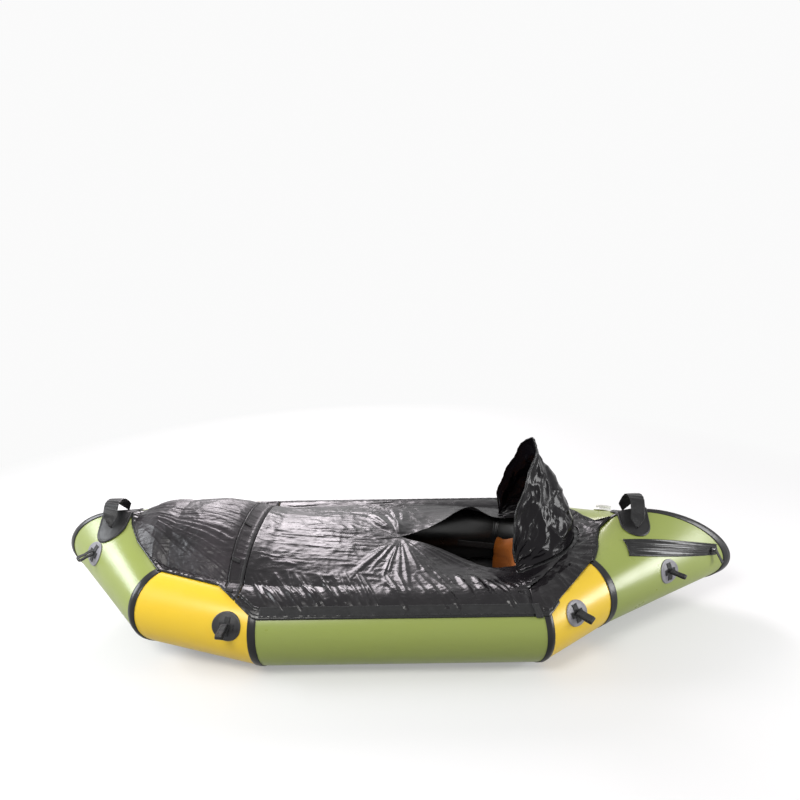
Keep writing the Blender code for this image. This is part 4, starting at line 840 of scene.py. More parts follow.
# Joining band: hook-and-loop tape across the deck that joins the bow piece to the middle panel.
# A thin sewn line runs along its front, a thick one along its rear, and it has three small tabs.
def hook_tape(name, colour):
    """Matt black tape with a dense pile of hooks."""
    made, tree, shader = plain_finish(name, colour, 0.85, Sheen_Weight=0.10, Sheen_Roughness=0.4)
    mottled(tree, shader, colour, tuple(c * 2.6 + 0.012 for c in colour), 38.0, 0.55)
    place = add(tree, "TexCoord")
    pile = add(tree, "TexVoronoi", {"Vector": (place, "Object"), "Scale": 620.0})
    cloud = soft_noise(tree, 120.0, 3.0)
    bumped(tree, shader, (pile, "Distance", 0.0007, 0.9), (cloud, "Fac", 0.0010, 0.4))
    return made


HOOK_TAPE = hook_tape("black_hook_tape", (0.008, 0.008, 0.0085))
BAND_THICKNESS, LINE_BASE = 0.0014, 0.0006
# Thread lies this far out from what it holds
THREAD_RISE = 0.0002
shares = np.linspace(0, 1, 27)
band_x = BAND_FRONT + BAND_GAP + (BAND_REAR - BAND_FRONT - 2 * BAND_GAP) * shares
band_x = band_x[:, None]
run = crowded(200)[None, :]
band_y = -rim_y(PORT, band_x) + (rim_y(PORT, band_x) + rim_y(STARBOARD, band_x)) * run
front_line = 0.0016 * np.exp(-(((shares - 0.08) / 0.05) ** 2))
rear_line = 0.0008 * np.exp(-(((shares - 0.84) / 0.13) ** 4))
lines = front_line + rear_line
pucker = 0.0007 * np.sin(band_y * 210 + 4 * np.sin(band_y * 37)) * (0.3 + shares[:, None])
band_low = np.stack((band_x + 0 * band_y, band_y, deck_top(band_x, band_y)), -1)
band_high = band_low + (BAND_THICKNESS + lines[:, None] + pucker)[..., None] * UPWARD
band = strap("deck_join_band_cloth", band_low, band_high)
# The band is drawn in the bow cloth, and so carries its painted sheen
fit_out(band, "hull", "hook_and_loop", BOW_CLOTH, "deck_join_band")
for name, first, last, rise in (("front", 1, 4, 0.0012), ("rear", 21, 26, 0.0022)):
    line_low = band_high[first:last] - LINE_BASE * UPWARD
    bulge = rise * np.sin(np.linspace(0.15, pi - 0.15, last - first))[:, None, None]
    line_high = line_low + LINE_BASE * UPWARD + bulge * UPWARD
    line = strap(f"band_{name}_line", line_low, line_high)
    fit_out(line, "hull", "hook_and_loop", HOOK_TAPE)
for row in (6, 18):
    STITCHES["hull"].append((band_high[row] + THREAD_RISE * UPWARD, UPWARD))
TAB_PLACES = (-0.03, -0.225, -0.345)
TAB_WIDTH, TAB_LENGTH, TAB_THICKNESS = 0.014, 0.024, 0.0016
TAB_LIFT, TAB_FRONT_CURL = 0.0028, 0.004
for number, middle in enumerate(TAB_PLACES):
    tab_x = (BAND_FRONT + 0.004 + TAB_LENGTH * np.linspace(0, 1, 8))[:, None]
    tab_y = middle + TAB_WIDTH * np.linspace(-0.5, 0.5, 7)[None, :]
    tab_z = deck_top(tab_x, tab_y) + TAB_LIFT
    tab_low = np.stack((tab_x + 0 * tab_y, tab_y + 0 * tab_x, tab_z), -1)
    tab_low[..., 2] += TAB_FRONT_CURL * np.linspace(1, 0, 8)[:, None] ** 2
    tab = strap(f"band_tab_{number}", tab_low, tab_low + TAB_THICKNESS * UPWARD)
    fit_out(tab, "hull", "hook_and_loop", HOOK_TAPE)


# Hook tape of the middle panel: a matt strip welded along its port edge, over the side tube, with a
# webbing tab at the rear end for pulling the panel open.
HOOK_WIDTH, HOOK_MARGIN, HOOK_THICKNESS = 0.034, 0.02, 0.0016
# How far from a side tube's middle the tape lies, which turns its width into an angle
SIDE_ROUND = 0.133
# What the cloth below takes up with its creases, and the gap between two layers
CLOTH_ROOM, LAYER_GAP = 0.0015, 0.0004
LAYER_LIFT = DECK_LIFT + CLOTH_ROOM + LAYER_GAP
strip_angle = np.degrees(HOOK_WIDTH / SIDE_ROUND)
hook_x = np.linspace(SIDE_START + HOOK_MARGIN, SIDE_END - HOOK_MARGIN, 160)
hook_along = (2 + (hook_x - SIDE_START) / (SIDE_END - SIDE_START))[:, None]
shares = np.linspace(0, 1, 15)
hook_angle = (PORT_EDGE - strip_angle * shares)[None, :]
edges = 0.0010 * (np.exp(-((shares / 0.09) ** 2)) + np.exp(-(((1 - shares) / 0.09) ** 2)))
wave = 0.0009 * np.sin(hook_along * 150 + 5 * np.sin(hook_along * 31))
wave = np.abs(wave * np.linspace(0.25, 1, 15)[None, :] ** 2)
hook_low = tube_surface(PORT, hook_along, hook_angle, LAYER_LIFT)
hook_lift = LAYER_LIFT + HOOK_THICKNESS + edges[None, :] + wave
hook_high = tube_surface(PORT, hook_along, hook_angle, hook_lift)
hook_strip = strap("port_hook_strip_tape", hook_low, hook_high)
fit_out(hook_strip, "deck_panel", "hook_and_loop", HOOK_TAPE, "port_hook_strip")


def webbing(name, pitch, roughness):
    """Woven black nylon strap: tight cross ribs, a little shine along the threads."""
    threads = {"Sheen_Weight": 0.08, "Specular_IOR_Level": 0.36}
    made, tree, shader = plain_finish(name, TAPE_BLACK, roughness, **threads)
    mottled(tree, shader, (0.004, 0.004, 0.0045), (0.015, 0.015, 0.016), 60.0, 0.5)
    bumped(tree, shader, (woven_height(tree, pitch), "Value", 0.0004, 0.7))
    return made


BLACK_WEBBING = webbing("black_woven_webbing", 0.0018, 0.48)
PULL_WIDTH, PULL_LENGTH = 0.020, 0.045
pull_reach = HOOK_MARGIN + PULL_WIDTH * (1 - np.linspace(0, 1, 9))
pull_along = (3 - pull_reach / (SIDE_END - SIDE_START))[None, :]
pull_angle = PORT_EDGE - np.degrees(PULL_LENGTH / SIDE_ROUND) * (np.linspace(0, 1, 24) - 0.25)
pull_angle = pull_angle[:, None]
pull_lift = LAYER_LIFT + CLOTH_ROOM + LAYER_GAP
raised = 0.0010 * (np.abs(np.linspace(-1, 1, 9)) > 0.8)[None, :]
tab_low = tube_surface(PORT, pull_along, pull_angle, pull_lift + 0.0010)
tab_high = tube_surface(PORT, pull_along, pull_angle, pull_lift + 0.0028 + raised)
pull_tab = strap("panel_pull_tab_webbing", tab_low, tab_high)
fit_out(pull_tab, "deck_panel", "black_webbing", BLACK_WEBBING, "panel_pull_tab")


# Rim bindings: glossy tape 20 mm wide, folded over the deck's edge and welded to the tubes. The
# cloth is gathered into it, so it puckers. The stern rim is finely pleated.
RIM_TAPE = black_tape("glossy_rim_tape", 0.22)
BINDING_THICKNESS, BINDING_GAP, RIM_ROUND = 0.0018, 0.0008, 0.127
BINDING_COLUMNS = 13


def binding(name, side, rows, body, pucker, pitch, width=0.020, inboard=0.70):
    """A binding along a rim given as rows of (along, angle). Pucker is the height of its folds,
    pitch the way between them, and inboard the share of its width that lies on the deck."""
    rows = np.array(rows, float)
    place = np.linspace(0, len(rows) - 1, 90 * (len(rows) - 1))
    along = np.minimum(np.interp(place, np.arange(len(rows)), rows[:, 0]), STERN_END)
    angle = np.interp(place, np.arange(len(rows)), rows[:, 1])
    middle = tube_surface(side, along, angle)
    steps = np.linalg.norm(np.diff(middle, axis=0), axis=1)
    run = np.concatenate(([0.0], np.cumsum(steps)))
    s = np.linspace(-inboard, 1 - inboard, BINDING_COLUMNS)
    edge = np.sqrt(np.clip(1 - np.abs(np.linspace(-1, 1, BINDING_COLUMNS)) ** 3, 0, 1))
    fold = np.sin(2 * pi * run / pitch + 2.2 * np.sin(run * 47) + side)
    lift = DECK_LIFT + 0.0013 + (BINDING_THICKNESS * edge)[None, :]
    lift = lift + pucker * (fold[:, None] * 0.5 + 0.5) * edge[None, :]
    under = BINDING_GAP + np.where(s < 0, DECK_LIFT, 0.0)[None, :]
    along, angle = along[:, None], angle[:, None] + np.degrees(s * width / RIM_ROUND)[None, :]
    high = tube_surface(side, along, angle, lift)
    low = tube_surface(side, along, angle, under)
    out = tube_surface(side, along, angle, lift + 0.01) - high
    for row in (3, 9):
        STITCHES[body].append((high[:, row] + 0.02 * out[:, row], out[:, row]))
    return fit_out(strap(name, low, high), body, "black_tape", RIM_TAPE)


for side_name, side in SIDES.items():
    bow_rows = BOW_RIM + [(1.55, -0.5 if side == PORT else 3.7)]
    binding(f"{side_name}_bow_rim", side, bow_rows, "hull", 0.0010, 0.024)
    binding(f"{side_name}_stern_rim", side, STERN_RIM, "hull", 0.0020, 0.0085, 0.024)
band_rows = [(1.55, -0.5), (1.62, 0.0), (1.815, 21.0)]
panel_rows = [(1.83, 22.6), (2.02, PORT_EDGE), (2.955, PORT_EDGE)]
rear_rows = [(2.965, PORT_EDGE), (3.02, PORT_EDGE), (3.2, 34.6)]
strip_rows = [(1.56, 3.8), (1.66, 5.5), (2.02, 10.0), (3.02, 10.0), (3.4, 9.0)]
binding("port_band_rim", PORT, band_rows, "hull", 0.0010, 0.030, 0.016, 0.6)
binding("port_panel_rim", PORT, panel_rows, "deck_panel", 0.0010, 0.030, 0.016, 0.6)
binding("port_rear_rim", PORT, rear_rows, "hull", 0.0010, 0.030, 0.016, 0.6)
binding("port_corner_rim", PORT, [(1.84, 13.0), (2.02, 32.0)], "deck_panel", 0.0012, 0.021, 0.014)
binding("starboard_strip_rim", STARBOARD, strip_rows, "hull", 0.0009, 0.030, 0.016)


# Collar: a pointed hood of the same black cloth, sewn to the middle panel behind the cockpit. Its
# mouth has a piped edge, and its cloth stands in flat facets between creases.
COLLAR_CLOTH = deck_cloth("black_collar_cloth", (1.0, 1.0, 0.7), 0.40, 0.17, CLOTH_BLACK, 0.17)
# The foot's rearmost place and its reach forward; the mouth's lip, and the tip's rise over it
COLLAR_REAR, COLLAR_FORWARD = float(hem_x(0.0)) - 0.020, 0.235
COLLAR_RISE, COLLAR_LIP = 0.330, 0.016
# How far the mouth's edge bows forward on each side
PORT_SWEEP, STARBOARD_SWEEP = 0.042, 0.020


def collar_points(share, f):
    """Points of the hood; share runs round its foot from -1 to 1, and f up to the mouth."""
    turn = share * pi / 2
    base_x = COLLAR_REAR - COLLAR_FORWARD * (1 - np.cos(turn))
    base_y = COLLAR_HALF * np.sin(turn)
    foot_lift = DECK_LIFT + CLOTH_ROOM + 0.0014 + 0.0042 * share**4
    ground = deck_top(base_x, base_y, foot_lift)
    round_tip = ((share**2 + 0.014) ** 0.575 - 0.014**0.575) / (1.014**0.575 - 0.014**0.575)
    fold = 0.003 * np.sin(7 * pi * share) * np.sin(pi * f / 2) ** 2
    sweep = np.where(share < 0, PORT_SWEEP, STARBOARD_SWEEP) * np.sin(pi * share**2)
    mouth_x = COLLAR_REAR - 0.176 - 0.059 * np.abs(share) ** 1.2 - sweep
    lean = f**1.15
    twist = -0.018 * np.sin(pi / 2 * np.clip(5 * share, -1, 1))
    twist = twist * np.clip((f - 0.3) / 0.7, 0, 1) ** 2
    x = base_x + (mouth_x - base_x) * lean + fold + twist * (1 - share**4)
    y = base_y * (1 - 0.35 * lean * (1 - share**2))
    return np.stack((x, y, ground + COLLAR_RISE * (1 - round_tip) * f + COLLAR_LIP * f), -1)


def facets(u, v, size, seed):
    """Flat planes between creases: the highest of a few scattered slanted planes."""
    picks = np.random.default_rng(seed)
    height = np.full(np.shape(u), -1e9)
    for _ in range(26):
        slope_u, slope_v = picks.normal(0, 0.20, 2)
        base = picks.uniform(-1, 0) * size
        off_u, off_v = u - picks.uniform(-0.34, 0.34), v - picks.uniform(0, 0.34)
        plane = base + slope_u * off_u + slope_v * off_v - 0.9 * (off_u**2 + off_v**2)
        height = np.maximum(height, plane)
    return height


share, f = np.meshgrid(np.linspace(-1, 1, 181), np.linspace(0, 1, 71))
surface = collar_points(share, f)
square = np.cross(np.gradient(surface, axis=1), np.gradient(surface, axis=0))
square /= np.maximum(np.linalg.norm(square, axis=2, keepdims=True), 1e-9)
outward = np.stack((np.cos(share * pi / 2), np.sin(share * pi / 2), 0 * f), -1)
square *= np.sign((square * outward).sum(-1, keepdims=True))
u, v = share * 0.32, f * 0.34
relief = facets(u, v, 0.030, 5)
relief = np.clip(relief - relief.min() - 0.5 * np.ptp(relief), -0.010, 0.010)
relief += 0.0060 * np.clip(crumple(u, v, 0.060, 2.3), 0, 1) ** 1.5
relief += 0.0014 * np.clip(crumple(u, v, 0.026, 6.4), 0, 1) ** 2
# The creases die out at the foot, at the front corners and towards the mouth
relief *= np.clip(f * 6, 0, 1) * np.clip((1 - np.abs(share)) * 8, 0, 1)
relief *= np.clip((1 - f) * 7, 0.12, 1)
surface = surface + square * relief[..., None]
collar = strap("collar_cloth", surface - square * 0.0005, surface + square * 0.0007)
fit_out(collar, "collar", "deck_cloth", COLLAR_CLOTH, "collar")


ROD_SIDES = 10


def rod(name, line, radius):
    """A closed round rod along points, its radius a number or one for each point."""
    line = np.asarray(line, float)
    ahead = np.gradient(line, axis=0)
    ahead /= np.linalg.norm(ahead, axis=1, keepdims=True)
    side = np.cross(ahead, np.where(np.abs(ahead[:, 2:]) > 0.95, (1.0, 0, 0), (0, 0, 1.0)))
    side /= np.linalg.norm(side, axis=1, keepdims=True)
    over = np.cross(side, ahead)
    turn = (2 * pi * np.arange(ROD_SIDES) / ROD_SIDES)[None, :, None]
    radius = np.broadcast_to(radius, len(line))[:, None, None]
    ring = side[:, None] * np.cos(turn) + over[:, None] * np.sin(turn)
    return closed_up(skin(name, line[:, None] + ring * radius, around=True, capped=True))


mouth = surface[-1]
lumps = 0.0026 + 0.0006 * np.sin(np.arange(len(mouth)) * 0.9)
mouth_piping = rod("collar_mouth_piping", mouth[2:-2], lumps[2:-2])
fit_out(mouth_piping, "collar", "deck_cloth", RIM_TAPE)
foot = np.linspace(-1, 1, 161)
foot_line = collar_points(foot, 0 * foot)
flange_rows = []
for reach in (0.0, 0.006, 0.012, 0.018):
    x = foot_line[:, 0] + reach * np.cos(foot * pi / 2)
    y = foot_line[:, 1] + reach * np.sin(foot * pi / 2)
    flange_rows.append(np.stack((x, y, deck_top(x, y) + 0.0016), -1))
flange = np.array(flange_rows).transpose(1, 0, 2)
rise = np.array((0.0030, 0.0022, 0.0020, 0.0008))[None, :] + 0.0006 * np.sin(foot * 60)[:, None]
flange_high = flange + rise[..., None] * UPWARD
fit_out(strap("collar_foot_seam", flange, flange_high), "deck_panel", "deck_cloth", RIM_TAPE)
STITCHES["deck_panel"].append((flange_high[:, 2] + THREAD_RISE * UPWARD, UPWARD))
hem, hem_out = surface[-5, 3:-3], square[-5, 3:-3]
STITCHES["collar"].append((hem + 0.0008 * hem_out, hem_out))


# Seat: an inflated cushion with three welded channels on the floor, and a U-shaped inflated
# backrest held to the side tubes by two straps. Matt orange coated nylon, darkened by painted
# shade.
# Painted shade: the orange is made darker because the backrest sits in the collar's shadow
ORANGE_FABRIC = coated_fabric("orange_coated_nylon", (0.260, 0.070, 0.004), 0.46)
SEAT_FLOOR, SEAT_HEIGHT, SEAT_LENGTH, SEAT_WIDTH = 0.0034, 0.066, 0.340, 0.290
SEAT_REAR, SEAT_BEND_CENTRE, SEAT_BEND = 0.38048, 0.252, 0.146
BACKREST_REAR, BACKREST_BEND, BACKREST_HALF, BACKREST_THICK = 0.448, 0.300, 0.192, 0.046
BACKREST_HIGH, BACKREST_LOW, BACKREST_FOOT = 0.252, 0.180, 0.0075


def puffed(piece, voxel, pressure, most):
    """Cloth simulation that blows a closed form up by most metres at most, then one subdivision."""
    remesh = piece.modifiers.new("remesh", "REMESH")
    remesh.mode, remesh.voxel_size = "VOXEL", voxel
    made_plain(piece)
    start = np.empty(len(piece.data.vertices) * 3)
    piece.data.vertices.foreach_get("co", start)
    cloth = piece.modifiers.new("cloth", "CLOTH")
    cloth.settings.use_pressure = True
    cloth.settings.uniform_pressure_force = pressure
    cloth.settings.effector_weights.gravity = 0
    scene = bpy.context.scene
    for number in range(1, 21):
        scene.frame_set(number)
    made_plain(piece)
    scene.frame_set(1)
    end = np.empty(len(start))
    piece.data.vertices.foreach_get("co", end)
    step = (end - start).reshape(-1, 3)
    size = np.linalg.norm(step, axis=1, keepdims=True)
    step *= np.minimum(1, most / np.maximum(size, 1e-9))
    piece.data.vertices.foreach_set("co", (start.reshape(-1, 3) + step).ravel())
    smooth = piece.modifiers.new("smooth", "SUBSURF")
    smooth.levels = smooth.render_levels = 1
    made_plain(piece)
    piece.data.shade_smooth()
    return piece


rings = []
for u in np.linspace(-1, 1, 49):
    centre_x = SEAT_REAR - SEAT_LENGTH / 2 * (1 - u)
    into_bend = max(0.0, centre_x - SEAT_BEND_CENTRE)
    waist = SEAT_WIDTH / 2 * (1 - 0.05 * (1 - u * u))
    half = min(waist, sqrt(SEAT_BEND**2 - min(into_bend, 0.14) ** 2)) - 0.003
    turn = np.linspace(0, 2 * pi, 72, endpoint=False)
    crown = (1 - min(abs(u), 0.999) ** 6) ** 0.5
    across = np.sign(np.cos(turn)) * np.abs(np.cos(turn)) ** 0.75
    over = np.sign(np.sin(turn)) * np.abs(np.sin(turn)) ** 0.8
    z = SEAT_FLOOR + SEAT_HEIGHT * (0.40 + np.where(over > 0, 0.50, 0.34) * over * crown)
    rings.append(np.stack((np.full(72, centre_x - 0.003 * u), half * across, z), -1))
cushion = closed_up(skin("seat_cushion_padded", np.array(rings), around=True, capped=True))
puffed(cushion, 0.006, 4.0, 0.005)
# The welded channels are pressed into the upper face and run out towards its ends
CHANNEL_DEPTH = 0.010
for vertex in cushion.data.vertices:
    v = vertex.co.y / (SEAT_WIDTH / 2)
    channel = max(0.0, cos(pi * (v + 1) * 2)) ** 8 * (1 if abs(v) < 0.8 else 0)
    if vertex.co.z > SEAT_FLOOR + SEAT_HEIGHT * 0.45:
        from_end = SEAT_LENGTH / 2 - abs(vertex.co.x - SEAT_REAR + SEAT_LENGTH / 2)
        vertex.co.z -= CHANNEL_DEPTH * channel * max(min(1.0, from_end / 0.05), 0.0)
fit_out(cushion, "hull", "orange_fabric", ORANGE_FABRIC, "seat_cushion")

centre_x = BACKREST_REAR - BACKREST_THICK / 2 - BACKREST_BEND
spread = asin((BACKREST_HALF - BACKREST_THICK / 2) / BACKREST_BEND)
rings = []
for share in 2 * crowded(90) - 1:
    turn, share = spread * share, abs(share)
    x, y = centre_x + BACKREST_BEND * cos(turn), BACKREST_BEND * sin(turn)
    slope = (BACKREST_LOW - BACKREST_HIGH) * (1 - cos(pi * share)) / 2
    height = BACKREST_HIGH + slope - 0.004
    close = min(1.0, sqrt(max(0.0, 1 - max(0.0, (share - 0.90) / 0.10) ** 2)) + 0.18)
    a = np.linspace(0, 2 * pi, 64, endpoint=False)
    up = np.clip(1.04 * np.cos(a), -1, 1)
    upper_welt = 0.16 * np.exp(-(((up - 0.15) / 0.07) ** 2))
    welt = 1 - upper_welt - 0.10 * np.exp(-(((up + 0.5) / 0.06) ** 2))
    out = (BACKREST_THICK / 2 - 0.002) * close * np.clip(1.2 * np.sin(a), -1, 1) * welt
    z = BACKREST_FOOT + height / 2 * (1 + up)
    rings.append(np.stack((x + out * cos(turn), y + out * sin(turn), z), -1))
backrest = closed_up(skin("seat_backrest_padded", np.array(rings), around=True, capped=True))
puffed(backrest, 0.006, 3.0, 0.003)
fit_out(backrest, "backrest", "orange_fabric", ORANGE_FABRIC, "seat_backrest")

SEAT_STRAP_REAR, SEAT_STRAP_LENGTH, SEAT_STRAP_WIDTH, SEAT_STRAP_Z = 0.3748, 0.150, 0.025, 0.133
SEAT_STRAP_INNER, SEAT_STRAP_OUTER, SEAT_STRAP_THICKNESS = 0.1763, 0.2160, 0.0013
f = np.linspace(0, 1, 40)[:, None]
s = np.linspace(-0.5, 0.5, 9)[None, :]
for side_name, side in SIDES.items():
    x = SEAT_STRAP_REAR - SEAT_STRAP_LENGTH * f
    reach = (SEAT_STRAP_OUTER - SEAT_STRAP_INNER - 0.0024) * f
    y = side * (SEAT_STRAP_INNER + 0.0004 + reach + 0.0004 * np.cos(s * 2 * pi * 3))
    low = np.stack((x + 0 * s, y + 0 * f, SEAT_STRAP_Z + SEAT_STRAP_WIDTH * s + 0 * f), -1)
    high = low + np.array((0, side * SEAT_STRAP_THICKNESS, 0))
    seat_strap = strap(f"{side_name}_seat_strap_webbing", low, high)
    fit_out(seat_strap, "hull", "black_webbing", BLACK_WEBBING, f"{side_name}_seat_strap")


# Lashing patches: discs of coated fabric welded to the tubes, each with a cross of webbing and a
# folded webbing loop that flips on it.
def tube_spots(side, along, angle, step_along=0.0, step_out=0.0, lift=0.0):
    """Points on a tube at small steps along it and round it from one spot, the way out there, and
    the way along the tube."""
    ahead = tube_surface(side, along + 0.01, angle) - tube_surface(side, along - 0.01, angle)
    ahead = ahead / 0.02
    around = (tube_surface(side, along, angle + 1) - tube_surface(side, along, angle - 1)) / 2
    direction = ahead / np.linalg.norm(ahead)
    square = around - direction * around.dot(direction)
    square /= np.linalg.norm(square)
    turn = np.asarray(step_out) / around.dot(square)
    move = (np.asarray(step_along) - around.dot(direction) * turn) / np.linalg.norm(ahead)
    out = np.cross(ahead, around) * side
    spots = tube_surface(side, along + move, angle + turn, lift)
    return spots, out / np.linalg.norm(out), direction


def patch_cloth(name, colour, other):
    """Satin coated cloth with a fine weave."""
    made, tree, shader = plain_finish(name, colour, 0.34, Sheen_Weight=0.2, Sheen_Roughness=0.3)
    mottled(tree, shader, colour, other, 24.0, 0.6)
    bumped(tree, shader, (woven_height(tree, 0.0012), "Value", 0.0002, 0.5))
    return made


GREY_PATCH = patch_cloth("grey_patch_fabric", (0.195, 0.190, 0.212), (0.330, 0.324, 0.355))
BLACK_PATCH = patch_cloth("black_patch_fabric", (0.009, 0.009, 0.010), (0.030, 0.029, 0.032))
# Each patch's along and angle on the tube, its loop's heading aft of outboard, and its radius
PATCHES = {
    "bow": (0.36, 53.0, -8.0, 0.043),
    "front": (1.80, 61.0, 0.0, 0.047),
    "rear": (3.40, 62.0, 20.0, 0.043),
    "stern": (4.46, 66.0, 30.0, 0.043),
}
PATCH_LIFT, PATCH_THICKNESS = 0.0011, 0.0016
LOOP_LENGTH, LOOP_WIDTH, LOOP_EYE, WEBBING_THICKNESS = 0.058, 0.022, 0.0125, 0.0024
LOOP_DROOP = radians(12)
LOOP_TURN = 16
CROSS_LENGTHS, CROSS_WIDTH, CROSS_THICKNESS = (0.060, 0.048), 0.019, 0.0012


def disc(name, side, along, angle, radius):
    """A round patch with a rounded, slightly raised edge, as one closed skin."""
    spokes = np.arange(72) * 2 * pi / 72
    # Rows of shares of the radius and of the thickness, out over the top and back underneath
    profile = [(share, 1.0) for share in (0.0, 0.3, 0.6, 0.84)]
    profile += [(0.90, 1.45), (0.96, 1.45), (0.99, 0.9), (1.0, 0.45)]
    profile += [(share, 0.0) for share in (0.995, 0.9, 0.6, 0.3, 0.0)]
    columns = []
    for share, thick in profile:
        reach = radius * share
        lift = PATCH_LIFT + PATCH_THICKNESS * thick
        steps = reach * np.cos(spokes), reach * np.sin(spokes)
        columns.append(tube_spots(side, along, angle, *steps, lift)[0])
    return closed_up(skin(name, np.stack(columns, 1), looped=True))


def cross_strip(name, side, along, angle, heading, length, lift):
    """A strip of webbing across a patch, its heading in degrees from outboard to the stern."""
    a = np.linspace(-0.5, 0.5, 28)[:, None] * length
    b = np.linspace(-0.5, 0.5, 9)[None, :] * CROSS_WIDTH
    turn = radians(heading)
    step_along, step_out = a * sin(turn) + b * cos(turn), a * cos(turn) - b * sin(turn)
    rib = 0.0004 * (np.abs(np.linspace(-1, 1, 9)) > 0.7)[None, :] + 0 * a
    low = tube_spots(side, along, angle, step_along, step_out, lift)[0]
    top = lift + CROSS_THICKNESS + rib
    high, out, _ = tube_spots(side, along, angle, step_along, step_out, top)
    for column in (1, 7):
        # The middle stays free, where the loop lies on the cross
        for part in (slice(1, 5), slice(-5, -1)):
            STITCHES["hull"].append((high[part, column] + 0.0001 * out, out))
    return strap(name, low, high)


def folded_loop(name, side, along, angle, heading, width):
    """Webbing folded into a long eye, from the middle of its patch."""
    place, out, direction = tube_spots(side, along, angle)
    outboard = np.array((out[0], out[1], 0.0)) / np.hypot(out[0], out[1])
    flat = np.array((direction[0], direction[1], 0.0)) / np.hypot(direction[0], direction[1])
    plan = outboard * cos(radians(heading)) + flat * sin(radians(heading))
    reach = plan * cos(LOOP_DROOP) - sin(LOOP_DROOP) * UPWARD
    hinge = np.cross(out, reach)
    hinge /= np.linalg.norm(hinge)
    up = np.cross(hinge, reach)
    up = up if up.dot(out) > 0 else -up
    radius = LOOP_EYE / 2 + WEBBING_THICKNESS
    centre = place + out * (PATCH_LIFT + PATCH_THICKNESS + 0.0004 + radius)
    run = LOOP_LENGTH - 2 * radius
    line = []
    for end, first in ((0.0, pi / 2), (run, -pi / 2)):
        line += [(end, first + pi * k / LOOP_TURN) for k in range(LOOP_TURN + 1)]
        line += [(end + (run - 2 * end) * k / 12, first + pi) for k in range(1, 12)]
    rows = []
    # Outer or inner face, and place across the webbing
    section = [(1.0, across) for across in (-1, -0.6, 0.0, 0.6, 1)]
    section += [(0.0, across) for across in (1, 0.0, -1)]
    for end, a in line:
        pinch = 0.0016 * sin(pi * min(max((end - 0.2 * run) / (0.6 * run), 0), 1)) ** 2
        row = []
        for layer, across in section:
            size = radius - 0.0003 - WEBBING_THICKNESS * (1 - layer) * 0.85
            size += 0.0002 * (abs(across) > 0.5) * layer
            offset = reach * (end + size * cos(a)) + up * (size * sin(a) - pinch * np.sign(sin(a)))
            row.append(centre + offset + hinge * across * width / 2)
        rows.append(row)
    return closed_up(skin(name, np.array(rows), around=True, looped=True))


LOOP_WEBBING = webbing("black_loop_webbing", 0.0016, 0.40)
for side_name, side in SIDES.items():
    for place_name, (along, angle, heading, radius) in PATCHES.items():
        name = f"{side_name}_{place_name}"
        patch = disc(name + "_patch_disc", side, along, angle, radius)
        if place_name == "front":
            fit_out(patch, "hull", "black_tape", BLACK_PATCH, name + "_patch")
        else:
            fit_out(patch, "hull", "grey_patch", GREY_PATCH, name + "_patch")
        for number, length in enumerate(CROSS_LENGTHS):
            lift = PATCH_LIFT + PATCH_THICKNESS + 0.0001 + 0.0010 * number
            strip_name, turn = f"{name}_cross_{number}", 90.0 * number
            cross = cross_strip(strip_name, side, along, angle, turn, length, lift)
            fit_out(cross, "hull", "black_webbing", BLACK_WEBBING)
        width = LOOP_WIDTH if place_name in ("front", "rear") else 0.60 * LOOP_WIDTH
        loop = folded_loop(name + "_loop_webbing", side, along, angle, heading, width)
        fit_out(loop, name + "_loop", "black_webbing", LOOP_WEBBING, name + "_loop")


# Carrying handles: a padded patch of coated tape across each tip, with a piped edge, and a wide
# strap that stands up in an arch between two rolled feet.
PAD_LIFT, PAD_WIDTH, PAD_BRIDGE = 0.0028, 0.105, 0.050
PAD_THICKNESS, PIPING_RISE = 0.0016, 0.0018
HANDLE_WIDTH, HANDLE_SPAN, FOOT_RADIUS = 0.050, 0.150, 0.004
PAD_TAPE = black_tape("padded_black_tape", 0.44)


def pad_height(x, y, crown):
    """Height of a pad's underside: on the tubes, and crowned where it bridges the dip between."""
    height = tube_top(x, y, PAD_LIFT)
    bridge = tube_top(x, np.full(np.shape(x), PAD_BRIDGE), PAD_LIFT)
    inner = np.abs(y) < PAD_BRIDGE
    lifted = np.fmax(height, bridge) + crown * (1 - (y / PAD_BRIDGE) ** 2)
    return np.where(inner, lifted, height)


def handle_pad(name, middle_x, length, crown, node):
    """A pad with round ends and a piped edge, laid across the boat."""
    y = (-length / 2 + 0.0004 + (length - 0.0008) * crowded(90))[:, None]
    past = np.maximum(0.0, np.abs(y) - (length - PAD_WIDTH) / 2)
    width = np.sqrt(np.maximum((PAD_WIDTH / 2) ** 2 - past**2, 1e-8))
    s = np.sin(np.linspace(-pi / 2, pi / 2, 31))[None, :]
    x, y = middle_x + width * s, y + 0 * s
    low = np.stack((x, y, pad_height(x, y, crown)), -1)
    from_round_end = PAD_WIDTH / 2 - np.hypot(past + 0 * s, x - middle_x)
    inside = np.maximum(np.minimum(width * (1 - np.abs(s)), from_round_end), 0)
    piping = PIPING_RISE * np.exp(-(((inside - 0.004) / 0.0022) ** 2))
    piping += 0.0006 * np.clip(crumple(x, y, 0.03, 4.4), 0, 1)
    thick = PAD_THICKNESS * np.clip(inside / 0.0012, 0.3, 1)
    thick = (thick + piping * np.clip(inside / 0.002, 0, 1))[..., None]
    for column in (6, 24):
        line = low[4:-4, column] + UPWARD * (thick[4:-4, column] + THREAD_RISE)
        STITCHES["hull"].append((line, UPWARD))
    return fit_out(strap(name, low, low + thick * UPWARD), "hull", "black_tape", PAD_TAPE, node)


